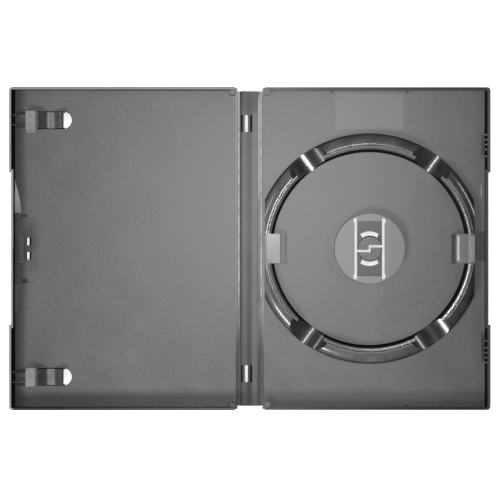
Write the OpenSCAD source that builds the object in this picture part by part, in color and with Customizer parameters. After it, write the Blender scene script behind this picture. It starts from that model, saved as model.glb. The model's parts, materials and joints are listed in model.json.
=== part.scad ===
// Disc keep case, lying open and flat: cover on the left, spine in the middle, disc tray on the right.
// The origin is on the floor under the middle of the spine. X runs to the tray's outer edge, Y to the
// head of the case and Z up. Tray and cover are drawn in panel coordinates, counted from their own hinge
// line outwards, and the cover is the mirrored one, so what meets when the case shuts shares its values.

/* [Case] */
// Height of the case along its spine
case_height = 190; // [180:1:240]
// Width of the tray and of the cover, from the hinge line to the outer edge
panel_width = 135; // [135:1:170]
// Thickness of the case when it is shut
case_thickness = 14.1; // [13.9:0.1:18]
// Corner radius of tray and cover in plan
corner_radius = 2; // [1.7:0.1:6]
// How far the thumb recess sets the outer edge in
thumb_depth = 1.2; // [0.5:0.1:2]
// Length of the thumb recess
thumb_length = 90; // [40:1:120]

/* [Moulding] */
// Floor thickness of tray, cover and spine
floor_wall = 1.1; // [0.9:0.05:1.4]
// Thickness of the rim walls
rim_wall = 1.5; // [1.4:0.05:2]
// Skin of the raised forms, which are cored from below
skin = 1.1; // [0.8:0.05:1.4]
// Thickness of the clear outer sleeve
sleeve_thickness = 0.2; // [0.15:0.05:0.3]
// How far the sleeve stays inside the edge of each panel
sleeve_inset = 0.5; // [0.3:0.1:2]

/* [Hinges] */
// Thickness of the two living hinges
web_thickness = 0.5; // [0.3:0.05:0.6]
// Width of each living hinge
web_width = 1.6; // [1.5:0.1:2.4]
// Run of the slopes that lead down to a hinge
groove_slope = 1; // [0.5:0.1:1]
// How far spine and hinges stop short of the head and the foot
spine_end_inset = 2; // [1:0.1:6]
// Distance from a hinge line to the start of the rim walls
wall_start = 2.2; // [2.2:0.1:4]

/* [Rim] */
// Height of the tray's rim above the surface the case lies on
tray_rim_height = 6.3; // [5.6:0.1:7.2]
// Height of the cover's inner lip above its rim
lip_height = 1.4; // [0.8:0.1:2]
// Thickness of the cover's inner lip
lip_wall = 0.75; // [0.6:0.05:0.9]
// Clearance between the lip and the tray's rim
lap_gap = 0.15; // [0.1:0.05:0.3]
// Clearance between the two rims when shut
seam_gap = 0.2; // [0.1:0.05:0.4]
// Side of the square posts that end the rims beside the hinges
post_size = 3; // [2:0.1:5]

/* [Disc seat] */
// Diameter of the disc that the tray holds
disc_diameter = 120; // [118:0.5:120]
// Diameter of the hole in the disc
disc_hole = 15; // [14:0.1:18]
// Thickness of the disc
disc_thickness = 1.2; // [1:0.1:1.5]
// Height of the seat that the disc lies on
seat_height = 5; // [4.6:0.1:6]
// Radius of the seat
seat_radius = 20.7; // [18:0.1:25]
// Clearance between the disc and the ring around it
disc_gap = 0.6; // [0.3:0.1:1]
// Height of the ring's crest
ring_height = 6.8; // [6.2:0.1:8]
// Width of the crest before it rounds off outwards
crest_width = 2.1; // [0.8:0.1:2.5]
// Chamfer on the inner edge of the crest
crest_chamfer = 0.5; // [0.2:0.1:0.7]
// Radius of the ring's outer round
ring_round = 5.5; // [5:0.1:6.5]
// Height of the ledge under the edge of the disc
ledge_height = 4.4; // [3.5:0.1:4.8]
// Distance from the crest to the foot of the ledge
ledge_width = 3.6; // [2.6:0.1:5]
// Run of the slope that leads up to the ledge
ledge_run = 1.6; // [0.4:0.1:2]
// Distance from the disc's centre to the flats that cut the ring on both sides
ring_flat = 61.7; // [61.3:0.1:62]
// Angle of the finger scoops from the case's width
scoop_angle = 54; // [45:1:65]
// Radius of the finger scoops
scoop_radius = 18; // [12:0.5:25]
// Height of the bottom of the scoops above the floor
scoop_floor = 0.4; // [0.2:0.1:2]
// Half width of the gaps in the ring at both sides
pad_half_width = 8.7; // [6:0.1:12]
// Height of the pads that fill those gaps
pad_height = 4; // [3:0.1:4.4]
// Distance from the disc's centre to the top of a pad's ramp
pad_start = 52.9; // [51:0.1:56]
// Run of a pad's ramp
pad_ramp = 4.2; // [3:0.1:8]
// Run of the gentler upper part of the ramp
pad_knee = 2; // [1:0.1:2.5]
// Rise of the gentler upper part
pad_knee_rise = 0.7; // [0.3:0.1:1]

/* [Disc buttons] */
// Half width of the tongues that carry the buttons
tongue_half_width = 7.3; // [6.5:0.1:9]
// Length of a tongue, from the disc's centre to its root
tongue_length = 16.2; // [14:0.1:17]
// Thickness of the tongues
tongue_thickness = 1.2; // [0.8:0.1:1.4]
// How far the tongues lie below the seat
tongue_drop = 0.6; // [0.3:0.1:1]
// Width of the slots beside the tongues
tongue_slot = 1.6; // [1:0.1:2]
// Width of the slit between the two buttons
button_slit = 1.4; // [0.8:0.1:2]
// How far each button reaches past the disc's centre on one side
button_reach = 0.7; // [0:0.1:1.5]
// Clearance between the buttons and the hole in the disc
button_gap = 0.2; // [0.1:0.05:0.5]
// How far the catch lips of the buttons reach over the disc
button_lip = 0.35; // [0.2:0.05:0.5]
// Height of the buttons above the disc's upper face
button_rise = 1.2; // [0.8:0.1:2]
// Half angle of the catch lips
lip_half_angle = 30; // [20:1:40]

/* [Cover clips] */
// Distance from a clip's centre line to the head or the foot
clip_inset = 19.1; // [15:0.1:30]
// Distance from the clip's block to the outer edge
clip_edge = 9.3; // [8:0.1:14]
// Length of the block that carries a clip
clip_block = 5.8; // [4:0.1:8]
// Width of the block
clip_width = 10.8; // [8:0.1:14]
// Height of the block above the floor
clip_rise = 3.3; // [2.5:0.1:4.5]
// Run of the gusset on the block's side towards the middle of the case
clip_gusset = 2; // [1:0.1:2]
// Length of the sprung leaf
leaf_length = 16.6; // [14:0.1:20]
// Width of the leaf
leaf_width = 9.6; // [7:0.1:10]
// Thickness of the leaf
leaf_thickness = 1; // [0.8:0.1:1.2]
// Distance from the root of the leaf to its lowest point
leaf_low_at = 8.2; // [6:0.1:10]
// Height of the leaf's lowest top face above the floor
leaf_low = 0.6; // [0.3:0.1:1.2]
// Height of the tip's top face above the floor
leaf_tip = 3.1; // [2:0.1:4]
// Clearance around the leaf in its window
leaf_gap = 0.4; // [0.3:0.1:1]
// Free length of the window past the leaf's tip
window_reach = 4.4; // [2:0.1:6]

/* [Latch] */
// Distance from the ring's flat to the outer edge, where the hook goes in
latch_bay = 9.3; // [8:0.1:12]
// Clearance between the hook and the catch
hook_gap = 0.6; // [0.4:0.1:1]
// Thickness of the hook
hook_thickness = 2.3; // [1.6:0.1:3]
// Half width of the hook
hook_half_width = 8.2; // [6:0.1:10]
// How far the hook's tip stays above the tray's floor when shut
hook_tip_gap = 1.8; // [1:0.1:2.2]
// How far the two beads stand out from the hook
bead_reach = 0.85; // [0.7:0.05:1]
// Height of the beads
bead_height = 1.1; // [0.8:0.1:1.3]
// Half length of each bead
bead_half_length = 2.2; // [1.5:0.1:3]
// Distance from the middle of the hook to the middle of a bead
bead_offset = 4.2; // [3.5:0.1:5]
// Width of the catch bar on the tray
catch_width = 2.9; // [2:0.1:3.5]
// Height of the catch bar's top
catch_height = 6.2; // [5.8:0.1:6.8]
// Depth of the window that the beads snap into
catch_depth = 0.9; // [0.8:0.1:1.2]

/* [Hidden] */
$fn = 96;

black_pp = [0.36, 0.36, 0.37];
gloss_pp = [0.30, 0.30, 0.31];
web_pp = [0.45, 0.45, 0.46];
clear_pp = [0.80, 0.83, 0.85, 0.35];

// Overshoot of cutters, and an extent past every edge
over = 1;
far = 400;

half_height = case_height / 2;
web_half = web_width / 2;
web_top = sleeve_thickness + web_thickness;
hinge_z = sleeve_thickness + web_thickness / 2;
hinge_x = case_thickness / 2 - hinge_z;
floor_z = sleeve_thickness + floor_wall;
cover_rim_height = case_thickness - tray_rim_height - seam_gap;
tray_rebate_z = tray_rim_height - lip_height;

// Spine
spine_half_width = hinge_x - web_half;
spine_half_height = half_height - spine_end_inset;
strip_rise = 0.7;
strip_in = 1.6;
strip_out = 4.2;
window_length = 10;
window_end = 16;
through_slot = [-2.9, -1.3];
blind_slots = [[-5.2, -4.2], [0.2, 1.4]];
blind_depth = 0.6;

// Disc seat
hub_u = panel_width - latch_bay - ring_flat;
ledge_outer = disc_diameter / 2 + disc_gap;
ledge_inner = ledge_outer - ledge_width;
ledge_slope = ledge_run / (ledge_height - floor_z);
round_centre = ledge_outer + crest_width;
hub_draft = 0.3;
scoop_angles = [scoop_angle, 180 - scoop_angle, 180 + scoop_angle, -scoop_angle];
scoop_z = floor_z + scoop_floor;
pad_foot = pad_start - pad_ramp;

// Tongues and buttons
tongue_top = seat_height - tongue_drop;
tongue_low = tongue_top - tongue_thickness;
slot_outer = tongue_half_width + tongue_slot;
slot_end = tongue_length + 1.9;
slot_end_widening = 0.6;
slot_end_length = 3;
root_beam = 1.5;
button_radius = disc_hole / 2 - button_gap;
disc_top = seat_height + disc_thickness;
button_top = disc_top + button_rise;
lip_under = disc_top + 0.15;
button_chamfer = 0.4;
window_outer = button_radius + 2.9;
window_half_angle = lip_half_angle + 3;

// Clips
clip_v = half_height - clip_inset;
block_out = panel_width - clip_edge;
block_in = block_out - clip_block;
block_top = floor_z + clip_rise;
leaf_tip_u = block_in - leaf_length;
leaf_low_u = block_in - leaf_low_at;
leaf_steps = 10;
clip_window_half = leaf_width / 2 + leaf_gap;
clip_gusset_drop = 1;
clip_rib = 1;
clip_rib_offset = 2.9;
clip_rib_height = 2.2;

// Latch
catch_u = panel_width - latch_bay;
hook_in = catch_u + hook_gap;
hook_out = hook_in + hook_thickness;
hook_tip_z = case_thickness - floor_z - hook_tip_gap;
bead_top = hook_tip_z - 0.4;
bead_low = bead_top - bead_height;
catch_window_low = case_thickness - bead_top - 0.3;
catch_window_high = case_thickness - bead_low + 0.3;
latch_hole_in = 2.9;
latch_recess_half = 20;
latch_recess_depth = 0.4;

// Tray details
label_half_width = 20.4;
label_length = 21.6;
label_depth = 0.2;
gusset_offset = 22.4;
gusset_reach = 1.6;
gusset_thickness = 1;
edge_ribs = [54.4, 58.5, 61.4, 64.3, 67.2];
edge_rib_length = 3.2;
edge_rib_height = 2.6;
edge_rib_thickness = 0.9;

module as_tray()
    translate([hinge_x, 0, 0])
        children();

module as_cover()
    mirror([1, 0, 0])
        as_tray()
            children();

// Box given by its two corners
module block(low, high)
    translate(low)
        cube(high - low);

// Outline drawn in the panel's width and height, extruded along the case
module along_case(length)
    rotate([90, 0, 0])
        linear_extrude(length, center = true)
            children();

module both_ends()
    for (side = [0, 1])
        mirror([0, side, 0])
            children();

// Panel outline inset by t on its three free edges, round the corners and the thumb recess
module panel_outline(t, start) {
    width = panel_width - t;
    half = half_height - t;
    corner = max(corner_radius - t, 0.2);
    difference() {
        union() {
            translate([start, -half])
                square([width - start - corner, 2 * half]);
            translate([start, -half + corner])
                square([width - start, 2 * (half - corner)]);
            for (side = [-1, 1])
                translate([width - corner, side * (half - corner)])
                    circle(corner);
        }
        translate([width - thumb_depth, -thumb_length / 2 - t])
            square([far, thumb_length + 2 * t]);
    }
}

// Stretch of rim between the insets t0 and t1, from z0 up to z1
module rim(t0, t1, z0, z1)
    translate([0, 0, z0])
        linear_extrude(z1 - z0)
            difference() {
                panel_outline(t0, wall_start);
                panel_outline(t1, -over);
            }

// Flat floor of a panel, sloping down to the living hinge
module panel_floor()
    difference() {
        translate([0, 0, sleeve_thickness])
            linear_extrude(floor_wall)
                panel_outline(0, web_half);
        along_case(far)
            polygon([[0, web_top], [web_half, web_top],
                     [web_half + groove_slope, floor_z], [web_half + groove_slope, floor_z + over],
                     [0, floor_z + over]]);
    }

// Posts that end the rims beside the hinge
module rim_posts(top)
    both_ends()
        block([wall_start, half_height - rim_wall - post_size, floor_z - floor_wall / 2],
              [wall_start + post_size, half_height - rim_wall / 2, top]);

// Half section of the ring round the disc, shrunk by s
module ring_profile(s) {
    low = sleeve_thickness - s;
    foot = ledge_inner + s * norm([1, ledge_slope]);
    polygon([[foot + ledge_slope * (low - floor_z), low],
             [foot + ledge_slope * (ledge_height - s - floor_z), ledge_height - s],
             [round_centre, ledge_height - s], [round_centre, low]]);
    polygon([[ledge_outer + s, low], [ledge_outer + s, ring_height - s - crest_chamfer],
             [ledge_outer + s + crest_chamfer, ring_height - s],
             [round_centre, ring_height - s], [round_centre, low]]);
    intersection() {
        translate([round_centre, ring_height - ring_round])
            circle(ring_round - s);
        translate([round_centre, low])
            square([far, far]);
    }
}

// Cylinder that scoops the ring out for a finger, along the disc's radius
module scoop(angle, grow)
    rotate(angle)
        translate([0, 0, scoop_z + scoop_radius])
            rotate([0, 90, 0])
                cylinder(r = scoop_radius + grow, h = far);

// Ring with its scoops, its side gaps and its flats, shrunk by s
module ring_form(s)
    intersection() {
        difference() {
            rotate_extrude()
                ring_profile(s);
            for (angle = scoop_angles)
                scoop(angle, s > 0 ? scoop_z : 0);
            block([-far, -pad_half_width - s, -far], [far, pad_half_width + s, far]);
        }
        block([s - ring_flat, -far, -far], [ring_flat - s, far, far]);
    }

// Pad that fills the gap of the ring, ramped towards the disc's centre, shrunk by s
module pad_form(s) {
    low = sleeve_thickness - s;
    outer = s > 0 ? ring_flat - catch_width : ring_flat;
    along_case(2 * (pad_half_width - s))
        polygon([[pad_foot + s, low], [pad_foot + s, floor_z - s],
                 [pad_start - pad_knee + s, pad_height - pad_knee_rise - s],
                 [pad_start + s, pad_height - s], [outer, pad_height - s], [outer, low]]);
}

// Seat under the middle of the disc, shrunk by s
module seat_form(s)
    translate([0, 0, sleeve_thickness - s])
        cylinder(r1 = seat_radius + hub_draft - s, r2 = seat_radius - s,
                 h = seat_height - sleeve_thickness);

// Everything that holds the disc, shrunk by s
module disc_forms(s) {
    ring_form(s);
    pad_form(s);
    mirror([1, 0, 0])
        pad_form(s);
    seat_form(s);
}

// Opening of the tongues and the slots beside them
module tongue_opening()
    translate([0, 0, -over])
        linear_extrude(far) {
            square([2 * slot_outer, 2 * tongue_length], center = true);
            for (side = [-1, 1])
                translate([side * (tongue_half_width + tongue_slot / 2), 0])
                    square([tongue_slot, 2 * slot_end], center = true);
            for (side = [-1, 1], end = [-1, 1])
                translate([side * (slot_outer + slot_end_widening / 2 - 0.1),
                           end * (slot_end - slot_end_length / 2)])
                    square([slot_end_widening + 0.2, slot_end_length], center = true);
        }

// Beams under the seat that the tongues spring from
module root_beams()
    both_ends()
        block([-tongue_half_width, tongue_length, tongue_low],
              [tongue_half_width, tongue_length + root_beam, seat_height - skin / 2]);

// Catch bar that the hook snaps under
module catch_bar()
    difference() {
        block([ring_flat - catch_width, 1 - pad_half_width, pad_height - skin],
              [ring_flat, pad_half_width - 1, catch_height]);
        block([ring_flat - catch_depth, -far, catch_window_low], [far, far, catch_window_high]);
    }

// Window in the pad below the catch bar
module catch_window()
    block([ring_flat - catch_depth, -pad_half_width - over, catch_window_low],
          [ring_flat + over, pad_half_width + over, catch_window_high]);

// Small gussets where the head and foot walls stand beside the ring
module wall_gussets()
    both_ends()
        for (side = [-1, 1])
            block([hub_u + side * gusset_offset - gusset_thickness / 2,
                   half_height - rim_wall - gusset_reach, floor_z - floor_wall / 2],
                  [hub_u + side * gusset_offset + gusset_thickness / 2,
                   half_height - rim_wall / 2, tray_rebate_z]);

// Low ribs that stiffen the outer wall
module outer_ribs()
    both_ends()
        for (v = edge_ribs)
            block([panel_width - rim_wall - edge_rib_length, v - edge_rib_thickness / 2,
                   floor_z - floor_wall / 2],
                  [panel_width - rim_wall / 2, v + edge_rib_thickness / 2, floor_z + edge_rib_height]);

module tray()
    color(black_pp)
        as_tray()
            difference() {
                union() {
                    panel_floor();
                    rim(0, rim_wall, floor_z - floor_wall / 2, tray_rebate_z);
                    rim(0, rim_wall - lip_wall - lap_gap, floor_z, tray_rim_height);
                    rim_posts(tray_rebate_z);
                    wall_gussets();
                    outer_ribs();
                    translate([hub_u, 0, 0]) {
                        disc_forms(0);
                        catch_bar();
                    }
                }
                translate([hub_u, 0, 0]) {
                    difference() {
                        disc_forms(skin);
                        root_beams();
                    }
                    tongue_opening();
                    catch_window();
                    block([-label_half_width, half_height - rim_wall - gusset_reach - label_length,
                           floor_z - label_depth],
                          [label_half_width, half_height - rim_wall - gusset_reach, floor_z + over]);
                }
            }

// Section of the spine: flat bar with sloping edges and two raised strips
module spine_section() {
    slope_end = spine_half_width - groove_slope;
    polygon([[-spine_half_width, sleeve_thickness], [spine_half_width, sleeve_thickness],
             [spine_half_width, web_top], [slope_end, floor_z],
             [-slope_end, floor_z], [-spine_half_width, web_top]]);
    for (left = [strip_in, -strip_out])
        translate([left, floor_z - floor_wall / 2])
            square([strip_out - strip_in, strip_rise + floor_wall / 2]);
}

module spine()
    color(black_pp)
        difference() {
            along_case(2 * spine_half_height)
                spine_section();
            both_ends() {
                block([through_slot[0], half_height - window_end - window_length, -over],
                      [through_slot[1], half_height - window_end, far]);
                for (slot = blind_slots)
                    block([slot[0], half_height - window_end - window_length, floor_z - blind_depth],
                          [slot[1], half_height - window_end, far]);
            }
        }

// Window of the cover under the leaf of a clip
module clip_window()
    translate([0, 0, -over])
        linear_extrude(far) {
            translate([leaf_tip_u - window_reach + clip_window_half, -clip_window_half])
                square([block_in - leaf_tip_u + window_reach - clip_window_half, 2 * clip_window_half]);
            translate([leaf_tip_u - window_reach + clip_window_half, 0])
                circle(clip_window_half);
        }

// Cored block that carries a clip, with a gusset on one side and two ribs to the outer wall
module clip_block_form() {
    block([block_in, -clip_width / 2, floor_z - floor_wall / 2], [block_out, clip_width / 2, block_top]);
    translate([block_in, 0, 0])
        rotate([90, 0, 90])
            linear_extrude(clip_block)
                polygon([[-clip_width / 2 - clip_gusset, floor_z - floor_wall / 2],
                         [-clip_width / 2 - clip_gusset, floor_z],
                         [-clip_width / 2, block_top - clip_gusset_drop],
                         [skin / 2 - clip_width / 2, block_top - clip_gusset_drop],
                         [skin / 2 - clip_width / 2, floor_z - floor_wall / 2]]);
    for (side = [-1, 1])
        block([block_out - skin, side * clip_rib_offset - clip_rib / 2, floor_z - floor_wall / 2],
              [panel_width - rim_wall / 2, side * clip_rib_offset + clip_rib / 2,
               floor_z + clip_rib_height]);
}

module clip_block_core()
    block([block_in + skin, skin - clip_width / 2, -over],
          [block_out - skin, clip_width / 2 - skin, block_top - skin]);

// Hook that snaps behind the tray's catch bar
module hook() {
    block([hook_in, -hook_half_width, floor_z - floor_wall / 2],
          [hook_out, hook_half_width, hook_tip_z]);
    for (side = [-1, 1])
        translate([0, side * bead_offset, 0])
            along_case(2 * bead_half_length)
                polygon([[hook_in + over / 2, bead_low], [hook_in, bead_low],
                         [hook_in - bead_reach, bead_low + bead_height / 3],
                         [hook_in - bead_reach, bead_low + bead_height / 2],
                         [hook_in, bead_top], [hook_in + over / 2, bead_top]]);
}

// Holes through the cover under the hook's beads
module latch_holes()
    for (side = [-1, 1])
        block([catch_u - latch_hole_in, side * bead_offset - bead_half_length, -over],
              [catch_u, side * bead_offset + bead_half_length, floor_z + over]);

module cover()
    color(black_pp)
        as_cover()
            difference() {
                union() {
                    difference() {
                        panel_floor();
                        block([catch_u - latch_hole_in, -latch_recess_half, floor_z - latch_recess_depth],
                              [hook_out, latch_recess_half, floor_z + over]);
                        both_ends()
                            translate([0, clip_v, 0])
                                clip_window();
                    }
                    rim(0, rim_wall, floor_z - floor_wall / 2, cover_rim_height);
                    rim(rim_wall - lip_wall, rim_wall, floor_z, cover_rim_height + lip_height);
                    rim_posts(cover_rim_height);
                    both_ends()
                        translate([0, clip_v, 0])
                            clip_block_form();
                    hook();
                }
                both_ends()
                    translate([0, clip_v, 0])
                        clip_block_core();
                latch_holes();
            }

// Living hinge between two neighbours of the spine
module hinge_web()
    color(web_pp)
        block([-web_half, -spine_half_height, sleeve_thickness],
              [web_half, spine_half_height, web_top]);

module back_hinge_web()
    translate([hinge_x, 0, 0])
        hinge_web();

module front_hinge_web()
    translate([-hinge_x, 0, 0])
        hinge_web();

// Plan of the upper tongue with its stepped end
module tongue_plan() {
    translate([-tongue_half_width, -button_reach])
        square([tongue_half_width - button_slit / 2, tongue_length + button_reach]);
    translate([-tongue_half_width, button_reach + button_slit])
        square([2 * tongue_half_width, tongue_length - button_reach - button_slit]);
}

// Plan sector of half angle a about the Y axis
module sector(a)
    polygon([[0, 0], [-far * sin(a), far * cos(a)], [far * sin(a), far * cos(a)]]);

module hub_tongue()
    color(gloss_pp)
        difference() {
            union() {
                translate([0, 0, tongue_low])
                    linear_extrude(tongue_thickness)
                        tongue_plan();
                intersection() {
                    translate([0, 0, tongue_low])
                        linear_extrude(far)
                            tongue_plan();
                    translate([0, 0, tongue_low]) {
                        cylinder(r = button_radius, h = button_top - button_chamfer - tongue_low);
                        translate([0, 0, button_top - button_chamfer - tongue_low])
                            cylinder(r1 = button_radius, r2 = button_radius - button_chamfer,
                                     h = button_chamfer);
                    }
                }
                intersection() {
                    translate([0, 0, lip_under])
                        cylinder(r1 = button_radius + button_lip, r2 = button_radius - 0.1,
                                 h = button_top - button_chamfer - lip_under);
                    translate([0, 0, lip_under])
                        linear_extrude(far)
                            intersection() {
                                tongue_plan();
                                sector(lip_half_angle);
                            }
                }
            }
            translate([0, 0, tongue_low - over])
                linear_extrude(tongue_thickness + 2 * over)
                    intersection() {
                        difference() {
                            circle(window_outer);
                            circle(button_radius);
                        }
                        sector(window_half_angle);
                    }
        }

module hub_tongue_upper()
    translate([hinge_x + hub_u, 0, 0])
        hub_tongue();

module hub_tongue_lower()
    translate([hinge_x + hub_u, 0, 0])
        rotate(180)
            hub_tongue();

// Height of the leaf's top face at the distance d from its root
function leaf_top(d) =
    d < leaf_low_at
        ? floor_z + leaf_low + (clip_rise - leaf_low) * (1 + cos(180 * d / leaf_low_at)) / 2
        : floor_z + leaf_low
          + (leaf_tip - leaf_low) * (1 - cos(180 * (d - leaf_low_at) / (leaf_length - leaf_low_at))) / 2;

leaf_places = concat(
    [for (i = [0 : leaf_steps]) leaf_low_at * i / leaf_steps],
    [for (i = [1 : leaf_steps]) leaf_low_at + (leaf_length - leaf_low_at) * i / leaf_steps]);

module leaf()
    color(gloss_pp)
        along_case(leaf_width)
            polygon(concat(
                [for (d = leaf_places) [block_in - d, leaf_top(d)]],
                [for (i = [len(leaf_places) - 1 : -1 : 0])
                    [block_in - leaf_places[i], leaf_top(leaf_places[i]) - leaf_thickness]]));

module clip_upper()
    as_cover()
        translate([0, clip_v, 0])
            leaf();

module clip_lower()
    as_cover()
        translate([0, -clip_v, 0])
            leaf();

// Clear sleeve under a panel
module panel_sleeve()
    color(clear_pp)
        linear_extrude(sleeve_thickness)
            panel_outline(sleeve_inset, web_half);

module tray_sleeve()
    as_tray()
        panel_sleeve();

module cover_sleeve()
    as_cover()
        panel_sleeve();

module spine_sleeve()
    color(clear_pp)
        block([-spine_half_width, sleeve_inset - half_height, 0],
              [spine_half_width, half_height - sleeve_inset, sleeve_thickness]);

tray();
spine();
cover();
back_hinge_web();
front_hinge_web();
hub_tongue_upper();
hub_tongue_lower();
clip_upper();
clip_lower();
tray_sleeve();
spine_sleeve();
cover_sleeve();
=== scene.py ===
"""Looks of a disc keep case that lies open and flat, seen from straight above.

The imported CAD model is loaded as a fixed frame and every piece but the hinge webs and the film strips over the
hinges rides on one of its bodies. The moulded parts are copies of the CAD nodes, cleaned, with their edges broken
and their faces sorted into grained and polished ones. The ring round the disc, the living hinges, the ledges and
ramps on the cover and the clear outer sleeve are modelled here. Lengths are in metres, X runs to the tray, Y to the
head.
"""

import json
import logging
import math
from collections.abc import Callable, Iterator, Sequence
from contextlib import contextmanager
from dataclasses import dataclass, field
from enum import Enum

import bpy
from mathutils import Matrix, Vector

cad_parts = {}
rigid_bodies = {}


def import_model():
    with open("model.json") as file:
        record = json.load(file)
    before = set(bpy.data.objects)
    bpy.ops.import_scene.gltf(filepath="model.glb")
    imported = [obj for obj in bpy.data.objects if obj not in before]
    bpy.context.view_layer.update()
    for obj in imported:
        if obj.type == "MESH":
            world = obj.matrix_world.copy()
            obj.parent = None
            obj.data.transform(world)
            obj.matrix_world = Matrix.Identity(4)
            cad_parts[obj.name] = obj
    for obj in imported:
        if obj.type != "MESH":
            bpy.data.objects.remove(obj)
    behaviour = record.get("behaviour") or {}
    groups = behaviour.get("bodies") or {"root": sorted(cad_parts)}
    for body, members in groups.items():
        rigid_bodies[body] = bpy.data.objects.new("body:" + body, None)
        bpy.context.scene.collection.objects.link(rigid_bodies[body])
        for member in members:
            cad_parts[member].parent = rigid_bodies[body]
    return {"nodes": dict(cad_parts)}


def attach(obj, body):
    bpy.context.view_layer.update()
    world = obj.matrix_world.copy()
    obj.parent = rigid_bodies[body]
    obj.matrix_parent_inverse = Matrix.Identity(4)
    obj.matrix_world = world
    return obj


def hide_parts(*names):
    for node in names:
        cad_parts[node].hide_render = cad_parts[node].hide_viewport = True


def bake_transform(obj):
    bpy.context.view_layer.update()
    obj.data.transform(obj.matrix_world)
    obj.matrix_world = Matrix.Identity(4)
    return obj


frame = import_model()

LOG = logging.getLogger("keep_case")

Colour = tuple[float, float, float, float]
Point = tuple[float, float, float]
Profile = list[tuple[float, float]]
Span = tuple[float, float]
Sockets = dict[str, bpy.types.NodeSocket]
FaceTest = Callable[[Vector, Vector], bool]

MM = 0.001

# Heights and places that the CAD model also has
FLOOR_TOP = 1.3 * MM
SLEEVE_TOP = 0.2 * MM
WEB_TOP = 0.7 * MM
HINGE_LINE = 6.6 * MM
HUB = Vector((70.6 * MM, 0.0, 0.0))

# Index of refraction of polypropylene
PLASTIC_IOR = 1.49


class Body(Enum):
    """Bodies of the CAD model."""

    TRAY = "tray"
    SPINE = "spine"
    COVER = "cover"
    UPPER_BUTTON = "upper_button"
    LOWER_BUTTON = "lower_button"
    UPPER_CLIP = "upper_clip"
    LOWER_CLIP = "lower_clip"


class Slot(Enum):
    """Material slots of the record."""

    TRAY = "moulded_tray"
    SPINE = "moulded_spine"
    COVER = "moulded_cover"
    WEB = "hinge_web"
    TONGUE = "hub_tongue"
    LEAF = "clip_leaf"
    SLEEVE = "clear_sleeve"


class Side(Enum):
    """Sides of the spine, by the sign of X."""

    BACK = 1.0
    FRONT = -1.0


class Graph:
    """Short way to add and link the nodes of one tree."""

    def __init__(self, tree: bpy.types.NodeTree) -> None:
        """Keeps the tree that the nodes go into."""
        self.tree = tree

    def add(self, kind: str, **settings: object) -> bpy.types.Node:
        """Adds a node and sets its properties.

        Args:
            kind: Blender's type name of the node.
            **settings: Values of the node's own properties.

        Returns:
            The new node.
        """
        node = self.tree.nodes.new(kind)
        for name, value in settings.items():
            setattr(node, name, value)
        return node

    def link(self, source: bpy.types.NodeSocket, target: bpy.types.NodeSocket) -> None:
        """Joins an output to an input."""
        self.tree.links.new(source, target)

    def feed(self, target: bpy.types.NodeSocket, value: object) -> None:
        """Links a socket to an input, or sets a plain value there.

        Args:
            target: The input.
            value: A socket, a number or a colour.
        """
        if isinstance(value, bpy.types.NodeSocket):
            self.link(value, target)
        else:
            target.default_value = value

    def math(self, operation: str, first: object, second: object = 0.0) -> bpy.types.NodeSocket:
        """Adds a Math node.

        Args:
            operation: Name of the operation.
            first: Socket or number for the first input.
            second: Socket or number for the second input.

        Returns:
            The node's output.
        """
        node = self.add("ShaderNodeMath", operation=operation)
        self.feed(node.inputs[0], first)
        self.feed(node.inputs[1], second)
        return node.outputs[0]

    def between(self, value: bpy.types.NodeSocket, low: float, high: float) -> bpy.types.NodeSocket:
        """Spreads a value from 0 to 1 over the range from low to high.

        Args:
            value: Socket to read.
            low: Value that becomes 0.
            high: Value that becomes 1.

        Returns:
            The clamped result.
        """
        node = self.add("ShaderNodeMapRange", clamp=True)
        self.link(value, node.inputs["Value"])
        node.inputs["From Min"].default_value = low
        node.inputs["From Max"].default_value = high
        return node.outputs["Result"]

    def mix(
        self, factor: bpy.types.NodeSocket, first: object, second: object, blend: str = "MIX"
    ) -> bpy.types.NodeSocket:
        """Mixes two colours.

        Args:
            factor: Share of the second colour.
            first: Socket or colour at 0.
            second: Socket or colour at 1.
            blend: How the second colour meets the first.

        Returns:
            The mixed colour.
        """
        node = self.add("ShaderNodeMix", data_type="RGBA", blend_type=blend)
        self.link(factor, node.inputs["Factor"])
        ends = [socket for socket in node.inputs if socket.type == "RGBA"]
        self.feed(ends[0], first)
        self.feed(ends[1], second)
        return next(socket for socket in node.outputs if socket.type == "RGBA")

    def noise(
        self, place: bpy.types.NodeSocket, scale: object, detail: float, roughness: float = 0.5
    ) -> bpy.types.NodeSocket:
        """Adds a noise texture.

        Args:
            place: Where it is read.
            scale: Socket or number for its scale.
            detail: How many finer layers it has.
            roughness: Share of the finer layers.

        Returns:
            Its value.
        """
        node = self.add("ShaderNodeTexNoise")
        self.link(place, node.inputs["Vector"])
        self.feed(node.inputs["Scale"], scale)
        node.inputs["Detail"].default_value = detail
        node.inputs["Roughness"].default_value = roughness
        return node.outputs["Fac"]


def new_group(
    name: str, inputs: dict[str, float], outputs: Sequence[str]
) -> tuple[bpy.types.NodeTree, Graph, Sockets, Sockets]:
    """Starts a shader node group with a position input.

    Args:
        name: Name of the group.
        inputs: Number inputs with their defaults.
        outputs: Names of the number outputs.

    Returns:
        The group, its graph, its input sockets and its output sockets by name.
    """
    tree = bpy.data.node_groups.new(name, "ShaderNodeTree")
    tree.interface.new_socket("Position", in_out="INPUT", socket_type="NodeSocketVector")
    for title, default in inputs.items():
        socket = tree.interface.new_socket(title, in_out="INPUT", socket_type="NodeSocketFloat")
        socket.default_value = default
    for title in outputs:
        tree.interface.new_socket(title, in_out="OUTPUT", socket_type="NodeSocketFloat")
    graph = Graph(tree)
    start = graph.add("NodeGroupInput")
    end = graph.add("NodeGroupOutput")
    return tree, graph, dict(start.outputs.items()), dict(end.inputs.items())


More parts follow.
